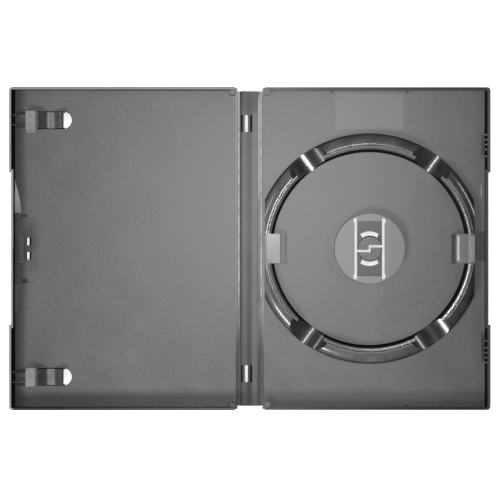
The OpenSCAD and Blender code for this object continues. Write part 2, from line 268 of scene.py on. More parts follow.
class SharedEffects:
    """Node groups that several finishes place with their own values."""

    def __init__(self) -> None:
        """Builds each group once."""
        self.grain = self._grain()
        self.clouds = self._clouds()
        self.scuffs = self._scuffs()
        self.zone = self._zone()

    def _grain(self) -> bpy.types.NodeTree:
        """Fine pits of a spark-eroded mould face.

        Returns:
            Group with the cell size in metres as input, and a height and a tone from 0 to 1 as outputs.
        """
        tree, graph, start, end = new_group("spark_grain", {"Cell": 0.0003}, ("Height", "Tone"))
        scale = graph.math("DIVIDE", 1.0, start["Cell"])
        graph.link(graph.noise(start["Position"], scale, 3.0, 0.55), end["Height"])
        coarse = graph.noise(start["Position"], graph.math("DIVIDE", scale, 4.0), 2.0)
        graph.link(graph.between(coarse, 0.3, 0.7), end["Tone"])
        return tree

    def _clouds(self) -> bpy.types.NodeTree:
        """Wide soft patches, as plastic has from its flow in the mould.

        Returns:
            Group with the patch size in metres as input and a tone from 0 to 1 as output.
        """
        tree, graph, start, end = new_group("flow_clouds", {"Patch": 0.03}, ("Tone",))
        wide = graph.noise(start["Position"], graph.math("DIVIDE", 1.0, start["Patch"]), 4.0, 0.6)
        graph.link(graph.between(wide, 0.3, 0.7), end["Tone"])
        return tree

    def _scuffs(self) -> bpy.types.NodeTree:
        """Hairline marks from handling, in two directions.

        Returns:
            Group with the length of a mark in metres as input and a mask from 0 to 1 as output.
        """
        tree, graph, start, end = new_group("handling_scuffs", {"Length": 0.012}, ("Mask",))
        marks = []
        for turn, stretch in ((0.5, 28.0), (-0.9, 36.0)):
            turned = graph.add("ShaderNodeMapping")
            turned.inputs["Rotation"].default_value = (0.0, 0.0, turn)
            turned.inputs["Scale"].default_value = (1.0, stretch, 1.0)
            graph.link(start["Position"], turned.inputs["Vector"])
            streaks = graph.noise(turned.outputs["Vector"], graph.math("DIVIDE", 1.0, start["Length"]), 1.0)
            marks.append(graph.between(streaks, 0.68, 0.76))
        graph.link(graph.math("MAXIMUM", marks[0], marks[1]), end["Mask"])
        return tree

    def _zone(self) -> bpy.types.NodeTree:
        """Rectangle on the case with soft edges.

        Returns:
            Group with the rectangle's limits and the widths of its edges in metres as inputs and a mask as output.
        """
        limits = {"Low X": 0.0, "High X": 0.01, "Low Y": 0.0, "High Y": 0.01, "Soft X": 0.0003, "Soft Y": 0.0003}
        tree, graph, start, end = new_group("painted_light_zone", limits, ("Mask",))
        axes = graph.add("ShaderNodeSeparateXYZ")
        graph.link(start["Position"], axes.inputs["Vector"])
        sides = []
        for axis in ("X", "Y"):
            above = graph.math("SUBTRACT", axes.outputs[axis], start[f"Low {axis}"])
            below = graph.math("SUBTRACT", start[f"High {axis}"], axes.outputs[axis])
            inside = graph.math("MINIMUM", above, below)
            sides.append(graph.between(graph.math("DIVIDE", inside, start[f"Soft {axis}"]), 0.0, 1.0))
        graph.link(graph.math("MULTIPLY", sides[0], sides[1]), end["Mask"])
        return tree


@dataclass(frozen=True)
class Zone:
    """Rectangle in which a finish is darker or paler, in millimetres; most zones paint shade or highlights into the
    colour.
    """

    x: Span
    y: Span
    tone: float
    soft: Span = (0.3, 0.3)

    def values(self) -> dict[str, float]:
        """Gives the inputs of the zone group, in metres."""
        names = ("Low X", "High X", "Low Y", "High Y", "Soft X", "Soft Y")
        return {name: value * MM for name, value in zip(names, (*self.x, *self.y, *self.soft))}


def zone_pair(x: Span, y: Span, tone: float, soft: Span = (0.3, 0.3)) -> tuple[Zone, Zone]:
    """Makes a zone near the head and its mirror image near the foot.

    Args:
        x: Its limits along X in millimetres.
        y: Its limits along Y in millimetres, at the head.
        tone: What the colour is multiplied by.
        soft: Widths of its edges along X and Y in millimetres.

    Returns:
        Both zones.
    """
    return Zone(x, y, tone, soft), Zone(x, (-y[1], -y[0]), tone, soft)


class Finish:
    """Start of a material: its Principled shader, its position and the shared effects."""

    def __init__(self, name: str, effects: SharedEffects) -> None:
        """Makes the material with its shader and its Object coordinates.

        Args:
            name: Name of the material.
            effects: The shared node groups.
        """
        self.material = bpy.data.materials.new(name)
        self.material.use_nodes = True
        self.effects = effects
        self.graph = Graph(self.material.node_tree)
        self.shader = self.material.node_tree.nodes["Principled BSDF"]
        self.position = self.graph.add("ShaderNodeTexCoord").outputs["Object"]

    def set(self, **values: object) -> None:
        """Sets constant sockets of the shader, with _ in place of a space."""
        for name, value in values.items():
            self.shader.inputs[name.replace("_", " ")].default_value = value

    def effect(self, group: bpy.types.NodeTree, **values: float) -> bpy.types.Node:
        """Places a shared group.

        Args:
            group: The node group.
            **values: Its number inputs.

        Returns:
            The group node.
        """
        node = self.graph.add("ShaderNodeGroup", node_tree=group)
        self.graph.link(self.position, node.inputs["Position"])
        for name, value in values.items():
            node.inputs[name].default_value = value
        return node

    def colour(self, factor: bpy.types.NodeSocket, dark: Colour, light: Colour, zones: Sequence[Zone] = ()) -> None:
        """Feeds the base colour from dark to light by a factor, darker or paler inside each zone, which paints shade
        or highlights.

        Args:
            factor: Share of the light colour.
            dark: Colour at 0.
            light: Colour at 1.
            zones: Rectangles that are darker or paler, mostly painted shade or painted highlights.
        """
        colour = self.graph.mix(factor, dark, light)
        for zone in zones:
            mask = self.effect(self.effects.zone, **zone.values()).outputs["Mask"]
            colour = self.graph.mix(mask, colour, (zone.tone, zone.tone, zone.tone, 1.0), "MULTIPLY")
        self.graph.link(colour, self.shader.inputs["Base Color"])

    def roughness(self, factor: bpy.types.NodeSocket, low: float, high: float) -> None:
        """Feeds the roughness from low to high by a factor."""
        spread = self.graph.math("MULTIPLY", factor, high - low)
        self.graph.link(self.graph.math("ADD", spread, low), self.shader.inputs["Roughness"])

    def bump(self, height: bpy.types.NodeSocket, distance: float, strength: float) -> None:
        """Feeds the normal from a height.

        Args:
            height: Height from 0 to 1.
            distance: Depth in metres.
            strength: Share of the effect.
        """
        node = self.graph.add("ShaderNodeBump")
        node.inputs["Distance"].default_value = distance
        node.inputs["Strength"].default_value = strength
        self.graph.link(height, node.inputs["Height"])
        self.graph.link(node.outputs["Normal"], self.shader.inputs["Normal"])


@dataclass(frozen=True)
class GrainedPlastic:
    """Black polypropylene from a spark-eroded mould face."""

    name: str
    dark: Colour
    light: Colour
    roughness: Span = (0.31, 0.37)
    cell: float = 0.28 * MM
    pit_depth: float = 0.03 * MM
    pit_strength: float = 0.22
    patch: float = 26 * MM
    cloud_share: float = 0.45
    scuff: float = 14 * MM
    scuff_share: float = 0.25
    zones: tuple[Zone, ...] = ()

    def build(self, effects: SharedEffects) -> bpy.types.Material:
        """Makes the material.

        Args:
            effects: The shared node groups.

        Returns:
            The finished material.
        """
        finish = Finish(self.name, effects)
        graph = finish.graph
        grain = finish.effect(effects.grain, Cell=self.cell)
        clouds = finish.effect(effects.clouds, Patch=self.patch)
        scuffs = finish.effect(effects.scuffs, Length=self.scuff)
        wide = graph.math("MULTIPLY", clouds.outputs["Tone"], self.cloud_share)
        fine = graph.math("MULTIPLY", grain.outputs["Tone"], 1.0 - self.cloud_share)
        tone = graph.math("ADD", wide, fine)
        marked = graph.math("ADD", tone, graph.math("MULTIPLY", scuffs.outputs["Mask"], self.scuff_share))
        finish.colour(marked, self.dark, self.light, self.zones)
        finish.roughness(tone, *self.roughness)
        finish.bump(grain.outputs["Height"], self.pit_depth, self.pit_strength)
        finish.set(IOR=PLASTIC_IOR)
        return finish.material


@dataclass(frozen=True)
class PolishedPlastic:
    """Black polypropylene from a polished mould face, with a little haze and hairlines."""

    name: str
    dark: Colour
    light: Colour
    roughness: Span = (0.10, 0.22)
    ripple: float = 9 * MM
    ripple_depth: float = 0.02 * MM
    scuff: float = 8 * MM
    scuff_share: float = 0.5
    skin_gloss: float = 0.0
    skin_roughness: float = 0.12
    specular: float = 0.5
    zones: tuple[Zone, ...] = ()

    def build(self, effects: SharedEffects) -> bpy.types.Material:
        """Makes the material.

        Args:
            effects: The shared node groups.

        Returns:
            The finished material.
        """
        finish = Finish(self.name, effects)
        graph = finish.graph
        clouds = finish.effect(effects.clouds, Patch=self.ripple)
        scuffs = finish.effect(effects.scuffs, Length=self.scuff)
        finish.colour(clouds.outputs["Tone"], self.dark, self.light, self.zones)
        haze = graph.math("MULTIPLY", clouds.outputs["Tone"], 1.0 - self.scuff_share)
        marks = graph.math("MULTIPLY", scuffs.outputs["Mask"], self.scuff_share)
        finish.roughness(graph.math("ADD", haze, marks), *self.roughness)
        finish.bump(clouds.outputs["Tone"], self.ripple_depth, 0.5)
        finish.set(IOR=PLASTIC_IOR, Coat_Weight=self.skin_gloss, Coat_Roughness=self.skin_roughness)
        finish.set(Specular_IOR_Level=self.specular)
        return finish.material


@dataclass(frozen=True)
class WebWithPaintedGlint:
    """Thin polypropylene with a painted glint along the line where it folds, fading out towards the foot."""

    name: str
    dark: Colour
    pale: Colour
    half_width: float = 0.8 * MM
    fade: Span = (-56 * MM, -18 * MM)
    patch: float = 5 * MM
    patch_gain: float = 0.45

    def build(self, effects: SharedEffects) -> bpy.types.Material:
        """Makes the material.

        Args:
            effects: The shared node groups.

        Returns:
            The finished material.
        """
        finish = Finish(self.name, effects)
        graph = finish.graph
        clouds = finish.effect(effects.clouds, Patch=self.patch)
        axes = graph.add("ShaderNodeSeparateXYZ")
        graph.link(finish.position, axes.inputs["Vector"])
        across = graph.math("ABSOLUTE", axes.outputs["X"])
        from_line = graph.math("ABSOLUTE", graph.math("SUBTRACT", across, HINGE_LINE))
        # Painted glint along the fold line, faded out towards the foot and broken by soft patches.
        painted_glint = graph.math("SUBTRACT", 1.0, graph.between(from_line, 0.1 * MM, self.half_width))
        faded = graph.math("MULTIPLY", painted_glint, graph.between(axes.outputs["Y"], *self.fade))
        broken = graph.math("MULTIPLY", faded, graph.math("ADD", clouds.outputs["Tone"], self.patch_gain))
        finish.colour(broken, self.dark, self.pale)
        finish.roughness(clouds.outputs["Tone"], 0.3, 0.5)
        finish.bump(clouds.outputs["Tone"], 0.05 * MM, 0.4)
        finish.set(IOR=PLASTIC_IOR)
        return finish.material


@dataclass(frozen=True)
class ClearFilm:
    """Clear polypropylene film, a little wavy, with hairlines."""

    name: str
    tint: Colour
    milky: Colour
    alpha: Span = (0.10, 0.125)
    wave: float = 22 * MM
    scuff: float = 60 * MM

    def build(self, effects: SharedEffects) -> bpy.types.Material:
        """Makes the material.

        Args:
            effects: The shared node groups.

        Returns:
            The finished material.
        """
        finish = Finish(self.name, effects)
        graph = finish.graph
        waves = finish.effect(effects.clouds, Patch=self.wave)
        scuffs = finish.effect(effects.scuffs, Length=self.scuff)
        finish.colour(scuffs.outputs["Mask"], self.tint, self.milky)
        finish.roughness(waves.outputs["Tone"], 0.04, 0.14)
        clear = graph.math("MULTIPLY", scuffs.outputs["Mask"], self.alpha[1] - self.alpha[0])
        graph.link(graph.math("ADD", clear, self.alpha[0]), finish.shader.inputs["Alpha"])
        finish.bump(waves.outputs["Tone"], 0.05 * MM, 0.4)
        finish.set(IOR=PLASTIC_IOR)
        return finish.material


@dataclass(frozen=True)
class PaleFloor:
    """Floor that reads as a white sheet of paper and keeps the object's shadow."""

    name: str
    tone: Colour = (0.80, 0.80, 0.80, 1.0)
    glow: float = 0.72

    def build(self) -> bpy.types.Material:
        """Makes the material.

        Returns:
            The finished material.
        """
        material = bpy.data.materials.new(self.name)
        material.use_nodes = True
        graph = Graph(material.node_tree)
        shader = material.node_tree.nodes["Principled BSDF"]
        shader.inputs["Base Color"].default_value = self.tone
        shader.inputs["Roughness"].default_value = 0.9
        shader.inputs["Specular IOR Level"].default_value = 0.0
        path = graph.add("ShaderNodeLightPath")
        seen = graph.math("MAXIMUM", path.outputs["Is Camera Ray"], path.outputs["Is Transmission Ray"])
        graph.link(graph.math("MULTIPLY", seen, self.glow), shader.inputs["Emission Strength"])
        shader.inputs["Emission Color"].default_value = (1.0, 1.0, 1.0, 1.0)
        return material


class Finishes:
    """All materials of the object."""

    def __init__(self) -> None:
        """Builds the shared effects and each material."""
        effects = SharedEffects()
        self.grained = GrainedPlastic(
            "grained_black",
            (0.087, 0.081, 0.085, 1.0),
            (0.153, 0.143, 0.150, 1.0),
            zones=(
                # Painted shade: darker away from the sheen, on the cover's far side and the tray's outer side.
                Zone((-250.0, -70.0), (-120.0, 120.0), 0.80, (60.0, 1.0)),
                Zone((72.0, 250.0), (-120.0, 120.0), 0.68, (60.0, 1.0)),
                # Painted shadows beside the cover's left rim and along the foot rims.
                Zone((-150.0, -131.0), (-120.0, 120.0), 0.45, (7.0, 1.0)),
                Zone((-150.0, 150.0), (-110.0, -82.5), 0.60, (1.0, 4.0)),
                # Painted shade on the spine: its two strips darker, its groove nearly black, its head round the slots
                # darker.
                Zone((-4.9, -1.2), (-95.0, 95.0), 0.45),
                Zone((1.2, 4.9), (-95.0, 95.0), 0.75),
                Zone((-1.7, 1.4), (-95.0, 95.0), 0.10, (0.5, 1.0)),
                Zone((-5.0, 5.0), (77.0, 99.0), 0.30, (0.3, 6.0)),
                # Painted shade in the tray's catch recess and between the ribs on its outer wall; a painted highlight
                # in its thumb recess.
                Zone((132.3, 139.6), (-7.4, 10.6), 0.20, (0.4, 0.4)),
                Zone((136.3, 139.4), (53.5, 67.5), 0.20, (1.4, 2.0)),
                Zone((136.3, 139.4), (-66.5, -48.5), 0.20, (1.4, 2.0)),
                Zone((135.9, 137.6), (29.5, 38.5), 2.6, (0.7, 3.0)),
                # Painted shade beside the clip ribs and at the ends of the latch channel.
                *zone_pair((-138.4, -132.4), (78.6, 81.4), 0.12, (0.6, 0.5)),
                *zone_pair((-138.4, -132.4), (71.4, 74.4), 0.12, (0.6, 0.5)),
                Zone((-135.2, -131.6), (18.4, 20.6), 0.06),
                Zone((-135.2, -131.6), (-20.6, -17.6), 0.06),
                # Darker over the hub's tongues.
                Zone((61.0, 80.2), (-17.0, 17.0), 0.50),
            ),
        ).build(effects)
        self.polished = PolishedPlastic(
            "polished_black",
            (0.020, 0.020, 0.022, 1.0),
            (0.044, 0.043, 0.046, 1.0),
            roughness=(0.30, 0.38),
            skin_gloss=0.7,
            skin_roughness=0.11,
            zones=(
                # Painted sheen: three times paler over the ring's left and middle, fading out towards the tray's outer
                # edge.
                Zone((-50.0, 122.0), (-120.0, 120.0), 3.0, (50.0, 1.0)),
                # Painted shade: darker at the ring's far right.
                Zone((126.0, 150.0), (-120.0, 120.0), 0.3, (4.0, 1.0)),
            ),
        ).build(effects)
        # Darker copy of the polished finish without its painted sheen: painted shade in the scoops' hollows and on the
        # ring's outer foot.
        self.scoop = PolishedPlastic(
            "polished_painted_shade",
            (0.006, 0.006, 0.007, 1.0),
            (0.030, 0.029, 0.031, 1.0),
            roughness=(0.26, 0.34),
            skin_gloss=0.8,
            skin_roughness=0.10,
        ).build(effects)
        self.satin = GrainedPlastic(
            "satin_black",
            (0.030, 0.029, 0.031, 1.0),
            (0.052, 0.050, 0.053, 1.0),
            roughness=(0.28, 0.40),
            pit_strength=0.12,
        ).build(effects)
        self.sprung = PolishedPlastic(
            "sprung_black",
            (0.030, 0.029, 0.031, 1.0),
            (0.110, 0.107, 0.110, 1.0),
            roughness=(0.25, 0.38),
            ripple=1.6 * MM,
        ).build(effects)
        self.leaf = PolishedPlastic(
            "leaf_black",
            (0.022, 0.021, 0.023, 1.0),
            (0.040, 0.039, 0.041, 1.0),
            roughness=(0.34, 0.44),
            ripple=3 * MM,
            # Painted highlight: a pale band across each leaf's crown.
            zones=zone_pair((-120.6, -114.6), (70.0, 82.0), 5.0, (1.6, 0.3)),
        ).build(effects)
        self.pad = PolishedPlastic(
            "pad_black",
            (0.115, 0.112, 0.115, 1.0),
            (0.150, 0.146, 0.149, 1.0),
            roughness=(0.26, 0.34),
            skin_gloss=0.08,
            # Zones of painted shade and light: painted shade at the left pad's outer end, on the right pad's ramp and
            # over the cover's hook; painted light on the left pad's ramp and the right pad's outer end; a painted
            # highlight at the top of the right pad's ramp.
            zones=(
                Zone((8.0, 10.2), (-9.0, 9.0), 0.10, (0.3, 0.3)),
                Zone((17.7, 22.0), (-9.0, 9.0), 1.7, (0.4, 0.3)),
                Zone((119.0, 122.2), (-9.0, 9.0), 0.25, (0.2, 0.3)),
                Zone((122.1, 123.8), (-7.2, 7.6), 3.4, (0.2, 0.3)),
                Zone((128.9, 130.6), (-9.0, 9.0), 1.8, (0.3, 0.3)),
                Zone((130.5, 132.6), (-9.0, 9.0), 1.4, (0.3, 0.3)),
                Zone((-137.5, -129.4), (-9.0, 9.0), 0.30, (2.0, 0.3)),
            ),
        ).build(effects)
        # Near-black, with almost no reflection: painted shade on the rims' inner walls, the floor's margin along the
        # outer rim, the ring's ledge side, the spine's slots and the ledges in the cover's openings.
        self.wall = PolishedPlastic(
            "wall_painted_shade",
            (0.004, 0.004, 0.005, 1.0),
            (0.010, 0.010, 0.011, 1.0),
            roughness=(0.5, 0.7),
            specular=0.05,
        ).build(effects)
        # Pale copy of the grained finish: painted sheen on the hub's seat and the cover's clip blocks, with painted
        # shade towards the seat's outer side.
        self.seat = GrainedPlastic(
            "seat_painted_sheen",
            (0.175, 0.171, 0.174, 1.0),
            (0.255, 0.249, 0.253, 1.0),
            roughness=(0.30, 0.40),
            cell=0.5 * MM,
            pit_strength=0.2,
            zones=(Zone((76.0, 110.0), (-25.0, 25.0), 0.80, (9.0, 1.0)),),
        ).build(effects)
        # Pale copy of the grained finish: painted light on the cover's rim tops and thumb ramps; its zones paint a
        # highlight on the ramp to the head and shade on the ramp to the foot.
        self.rim = GrainedPlastic(
            "rim_painted_light",
            (0.240, 0.236, 0.240, 1.0),
            (0.300, 0.295, 0.299, 1.0),
            roughness=(0.30, 0.40),
            zones=(
                Zone((-139.3, -130.0), (24.0, 60.0), 1.5, (0.3, 6.0)),
                Zone((-139.3, -130.0), (-60.0, 0.0), 0.10, (0.3, 0.3)),
            ),
        ).build(effects)
        # Dark copy of the rim finish: painted shade on the foot rims and the tray's head rim, darker still away from
        # the spine and most of all at the tray's head.
        self.shaded_rim = GrainedPlastic(
            "rim_painted_shade",
            (0.100, 0.097, 0.100, 1.0),
            (0.140, 0.136, 0.140, 1.0),
            roughness=(0.30, 0.40),
            zones=(
                Zone((-250.0, -8.0), (-120.0, 120.0), 0.60, (2.0, 1.0)),
                Zone((-250.0, -15.0), (-120.0, 120.0), 0.06, (100.0, 1.0)),
                Zone((12.0, 250.0), (-120.0, 120.0), 0.35, (40.0, 1.0)),
                Zone((60.0, 250.0), (-120.0, 120.0), 0.12, (40.0, 1.0)),
                Zone((20.0, 250.0), (0.0, 120.0), 0.10, (65.0, 1.0)),
            ),
        ).build(effects)
        self.label = GrainedPlastic(
            "label_panel", (0.122, 0.118, 0.121, 1.0), (0.168, 0.163, 0.167, 1.0), roughness=(0.30, 0.36)
        ).build(effects)
        # Pale finish that paints a glint on the slopes down to the hinges, fading out towards the foot, paler on the
        # spine's slope to the tray and darker on the tray's slope.
        self.painted_glint = GrainedPlastic(
            "slope_painted_glint",
            (0.250, 0.246, 0.251, 1.0),
            (0.380, 0.374, 0.380, 1.0),
            roughness=(0.26, 0.34),
            patch=9 * MM,
            zones=(
                Zone((-12.0, 12.0), (-120.0, -34.0), 0.30, (1.0, 30.0)),
                Zone((4.0, 6.6), (-30.0, 120.0), 1.5, (0.3, 30.0)),
                Zone((7.2, 12.0), (-30.0, 120.0), 0.72, (0.3, 30.0)),
            ),
        ).build(effects)
        self.web = WebWithPaintedGlint("web_painted_glint", (0.06, 0.06, 0.065, 1.0), (0.50, 0.50, 0.51, 1.0)).build(effects)
        self.film = ClearFilm("clear_film", (0.80, 0.82, 0.84, 1.0), (0.86, 0.88, 0.89, 1.0)).build(effects)


def active() -> bpy.types.Object:
    """Gives the active object."""
    return bpy.context.view_layer.objects.active


def deselect_all() -> None:
    """Leaves no object selected, in object mode."""
    if active() is not None and bpy.context.mode != "OBJECT":
        bpy.ops.object.mode_set(mode="OBJECT")
    bpy.ops.object.select_all(action="DESELECT")


def take(piece: bpy.types.Object) -> None:
    """Makes one object the only selected and active one.

    Args:
        piece: The object.
    """
    deselect_all()
    piece.select_set(True)
    bpy.context.view_layer.objects.active = piece


@contextmanager
def editing(piece: bpy.types.Object) -> Iterator[None]:
    """Keeps one object in edit mode, selected all over at first.

    Args:
        piece: The object.

    Yields:
        Nothing, while the object is in edit mode.
    """
    take(piece)
    bpy.ops.object.mode_set(mode="EDIT")
    bpy.ops.mesh.select_all(action="SELECT")
    yield
    bpy.ops.object.mode_set(mode="OBJECT")


def settle(piece: bpy.types.Object) -> None:
    """Puts an object's place, turn and size into its mesh."""
    take(piece)
    bpy.ops.object.transform_apply(location=True, rotation=True, scale=True)


def add_block(middle: Sequence[float], size: Sequence[float]) -> bpy.types.Object:
    """Adds a block.

    Args:
        middle: Its centre.
        size: Its three sides.

    Returns:
        The block, with its place in its mesh.
    """
    deselect_all()
    bpy.ops.mesh.primitive_cube_add(size=1.0, location=middle, scale=size)
    block = active()
    settle(block)
    return block


def draw_line(name: str, points: Sequence[Point]) -> bpy.types.Object:
    """Draws a line point by point.

    Args:
        name: Name of the new object.
        points: The places that it runs through.

    Returns:
        The line, left in edit mode and selected all over.
    """
    deselect_all()
    bpy.ops.mesh.primitive_plane_add(size=1.0 * MM)
    line = active()
    line.name = name
    bpy.ops.object.mode_set(mode="EDIT")
    bpy.ops.mesh.select_mode(type="VERT")
    bpy.ops.mesh.select_all(action="SELECT")
    bpy.ops.mesh.merge(type="CENTER")
    bpy.ops.transform.translate(value=points[0])
    for last, point in zip(points, points[1:]):
        step = tuple(new - old for old, new in zip(last, point))
        bpy.ops.mesh.extrude_vertices_move(TRANSFORM_OT_translate={"value": step})
    bpy.ops.mesh.select_all(action="SELECT")
    return line


def pick_faces(piece: bpy.types.Object, test: FaceTest) -> int:
    """Selects faces in edit mode by place and normal.

    Args:
        piece: The mesh object, in edit mode.
        test: Says for a face's centre and normal whether it is picked.

    Returns:
        How many faces are picked.
    """
    bpy.ops.mesh.select_mode(type="FACE")
    bpy.ops.mesh.select_all(action="DESELECT")
    bpy.ops.object.mode_set(mode="OBJECT")
    picked = 0
    for polygon in piece.data.polygons:
        polygon.select = bool(test(polygon.center, polygon.normal))
        picked += polygon.select
    bpy.ops.object.mode_set(mode="EDIT")
    return picked


def pick_points(piece: bpy.types.Object, test: Callable[[Vector], bool]) -> int:
    """Selects vertices in edit mode by place.

    Args:
        piece: The mesh object, in edit mode.
        test: Says for a vertex's place whether it is picked.

    Returns:
        How many vertices are picked.
    """
    bpy.ops.mesh.select_mode(type="VERT")
    bpy.ops.mesh.select_all(action="DESELECT")
    bpy.ops.object.mode_set(mode="OBJECT")
    picked = 0
    for vertex in piece.data.vertices:
        vertex.select = bool(test(vertex.co))
        picked += vertex.select
    bpy.ops.object.mode_set(mode="EDIT")
    return picked


def split_at(place: float) -> None:
    """Parts every face of the object in edit mode along an upright plane square to X."""
    bpy.ops.mesh.select_all(action="SELECT")
    bpy.ops.mesh.bisect(plane_co=(place, 0.0, 0.0), plane_no=(1.0, 0.0, 0.0))


def apply_modifier(piece: bpy.types.Object, kind: str, **settings: object) -> None:
    """Adds a modifier, sets it and applies it.

    Args:
        piece: The object.
        kind: Blender's type name of the modifier.
        **settings: Values of the modifier.
    """
    take(piece)
    bpy.ops.object.modifier_add(type=kind)
    modifier = piece.modifiers[-1]
    for name, value in settings.items():
        setattr(modifier, name, value)
    bpy.ops.object.modifier_apply(modifier=modifier.name)


def join(parts: Sequence[bpy.types.Object], name: str) -> bpy.types.Object:
    """Joins objects into one.

    Args:
        parts: The objects.
        name: Name of the joined object.

    Returns:
        The joined object, with its place in its mesh.
    """
    deselect_all()
    for part in parts:
        part.select_set(True)
    bpy.context.view_layer.objects.active = parts[0]
    bpy.ops.object.join()
    settle(parts[0])
    parts[0].name = name
    return parts[0]


def combine(piece: bpy.types.Object, operation: str, cutter: bpy.types.Object) -> None:
    """Combines a piece with a cutter and removes the cutter.

    Args:
        piece: The object to change.
        operation: DIFFERENCE, INTERSECT or UNION.
        cutter: The object to combine it with.
    """
    apply_modifier(piece, "BOOLEAN", operation=operation, object=cutter, solver="EXACT")
    take(cutter)
    bpy.ops.object.delete()


def dress_faces(
    piece: bpy.types.Object, base: bpy.types.Material, patches: Sequence[tuple[bpy.types.Material, FaceTest]] = ()
) -> None:
    """Gives a piece one finish all over and others on the faces that their tests pick, the last one on top.

    Args:
        piece: The object.
        base: The finish all over.
        patches: Each other finish, with what says for a face's centre and normal whether it takes it.
    """
    materials = [base]
    for material, _ in patches:
        if material not in materials:
            materials.append(material)
    piece.data.materials.clear()
    for material in materials:
        piece.data.materials.append(material)
    if not patches:
        return
    with editing(piece):
        for material, test in patches:
            if pick_faces(piece, test):
                piece.active_material_index = materials.index(material)
                bpy.ops.object.material_slot_assign()


def hang(piece: bpy.types.Object, body: Body) -> None:
    """Lets a piece ride on a body and reports it.

    Args:
        piece: The finished piece.
        body: What carries it.
    """
    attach(piece, body.value)
    LOG.info("%s: %d faces", piece.name, len(piece.data.polygons))


def stretch(piece: bpy.types.Object, panel: Body, ends: Span, slot: Slot) -> None:
    """Puts a piece's place into its mesh and reports it; the piece rides on no body and does not bend.

    Args:
        piece: The finished piece.
        panel: The tray or the cover; not used.
        ends: X at which it leaves the spine and at which it reaches the panel; not used.
        slot: Its material slot in the record; not used.
    """
    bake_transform(piece)
    LOG.info("%s: %d faces", piece.name, len(piece.data.polygons))


def slopes(normal: Vector) -> bool:
    """Tells whether a normal belongs to a slope that is seen from above."""
    return 0.2 < normal.z < 0.99


@dataclass
class Moulding:
    """A moulded part, taken from its CAD node with its edges broken."""

    node: str
    body: Body
    slot: Slot
    edge: float = 0.12 * MM
    merge: float = 0.002 * MM
    flat: float = math.radians(0.8)
    sharp: float = math.radians(32)
    smooth: float = math.radians(14)

    def copy_node(self) -> bpy.types.Object:
        """Copies the CAD node's mesh into a piece of its own, merged and with its flat faces whole.

        Returns:
            The new piece, at the origin and with no parent.
        """
        take(frame["nodes"][self.node])
        bpy.ops.object.duplicate()
        piece = active()
        bpy.ops.object.parent_clear(type="CLEAR_KEEP_TRANSFORM")
        piece.name = f"{self.node}_moulding"
        for key in [key for key in piece.keys() if key.startswith("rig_")]:
            del piece[key]
        settle(piece)
        with editing(piece):
            bpy.ops.mesh.remove_doubles(threshold=self.merge)
            bpy.ops.mesh.dissolve_limited(angle_limit=self.flat)
        return piece

    def break_edges(self, piece: bpy.types.Object) -> None:
        """Rounds the sharp edges a little and keeps the part's height.

        Args:
            piece: The piece.
        """
        top = max(vertex.co.z for vertex in piece.data.vertices)
        apply_modifier(
            piece,
            "BEVEL",
            width=self.edge,
            segments=2,
            limit_method="ANGLE",
            angle_limit=self.sharp,
            use_clamp_overlap=True,
            harden_normals=False,
        )
        with editing(piece):
            if pick_points(piece, lambda co: co.z > top):
                bpy.ops.transform.resize(value=(1.0, 1.0, 0.0), center_override=(0.0, 0.0, top))

    def carve(self, piece: bpy.types.Object) -> None:
        """Cuts away what another piece stands for; nothing unless a part says otherwise."""

    def shade(self, piece: bpy.types.Object) -> None:
        """Shades curved faces smooth and keeps the faces square to an axis flat.

        Args:
            piece: The piece.
        """
        take(piece)
        bpy.ops.object.shade_smooth_by_angle(angle=self.smooth)
        with editing(piece):
            pick_faces(piece, lambda centre, normal: max(abs(part) for part in normal) > 0.99999)
            bpy.ops.mesh.faces_shade_flat()

    def is_underside(self, centre: Vector, normal: Vector) -> bool:
        """Tells whether a face looks down at the sleeve."""
        return normal.z < -0.5

    def dress(self, piece: bpy.types.Object, finishes: Finishes) -> None:
        """Gives the piece its materials; the grained one all over unless a part says otherwise."""
        dress_faces(piece, finishes.grained)

    def build(self, finishes: Finishes) -> bpy.types.Object:
        """Makes the piece and hangs it on its body.

        Args:
            finishes: The materials.

        Returns:
            The finished piece.
        """
        piece = self.copy_node()
        self.break_edges(piece)
        self.carve(piece)
        self.shade(piece)
        self.dress(piece, finishes)
        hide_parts(self.node)
        hang(piece, self.body)
        return piece


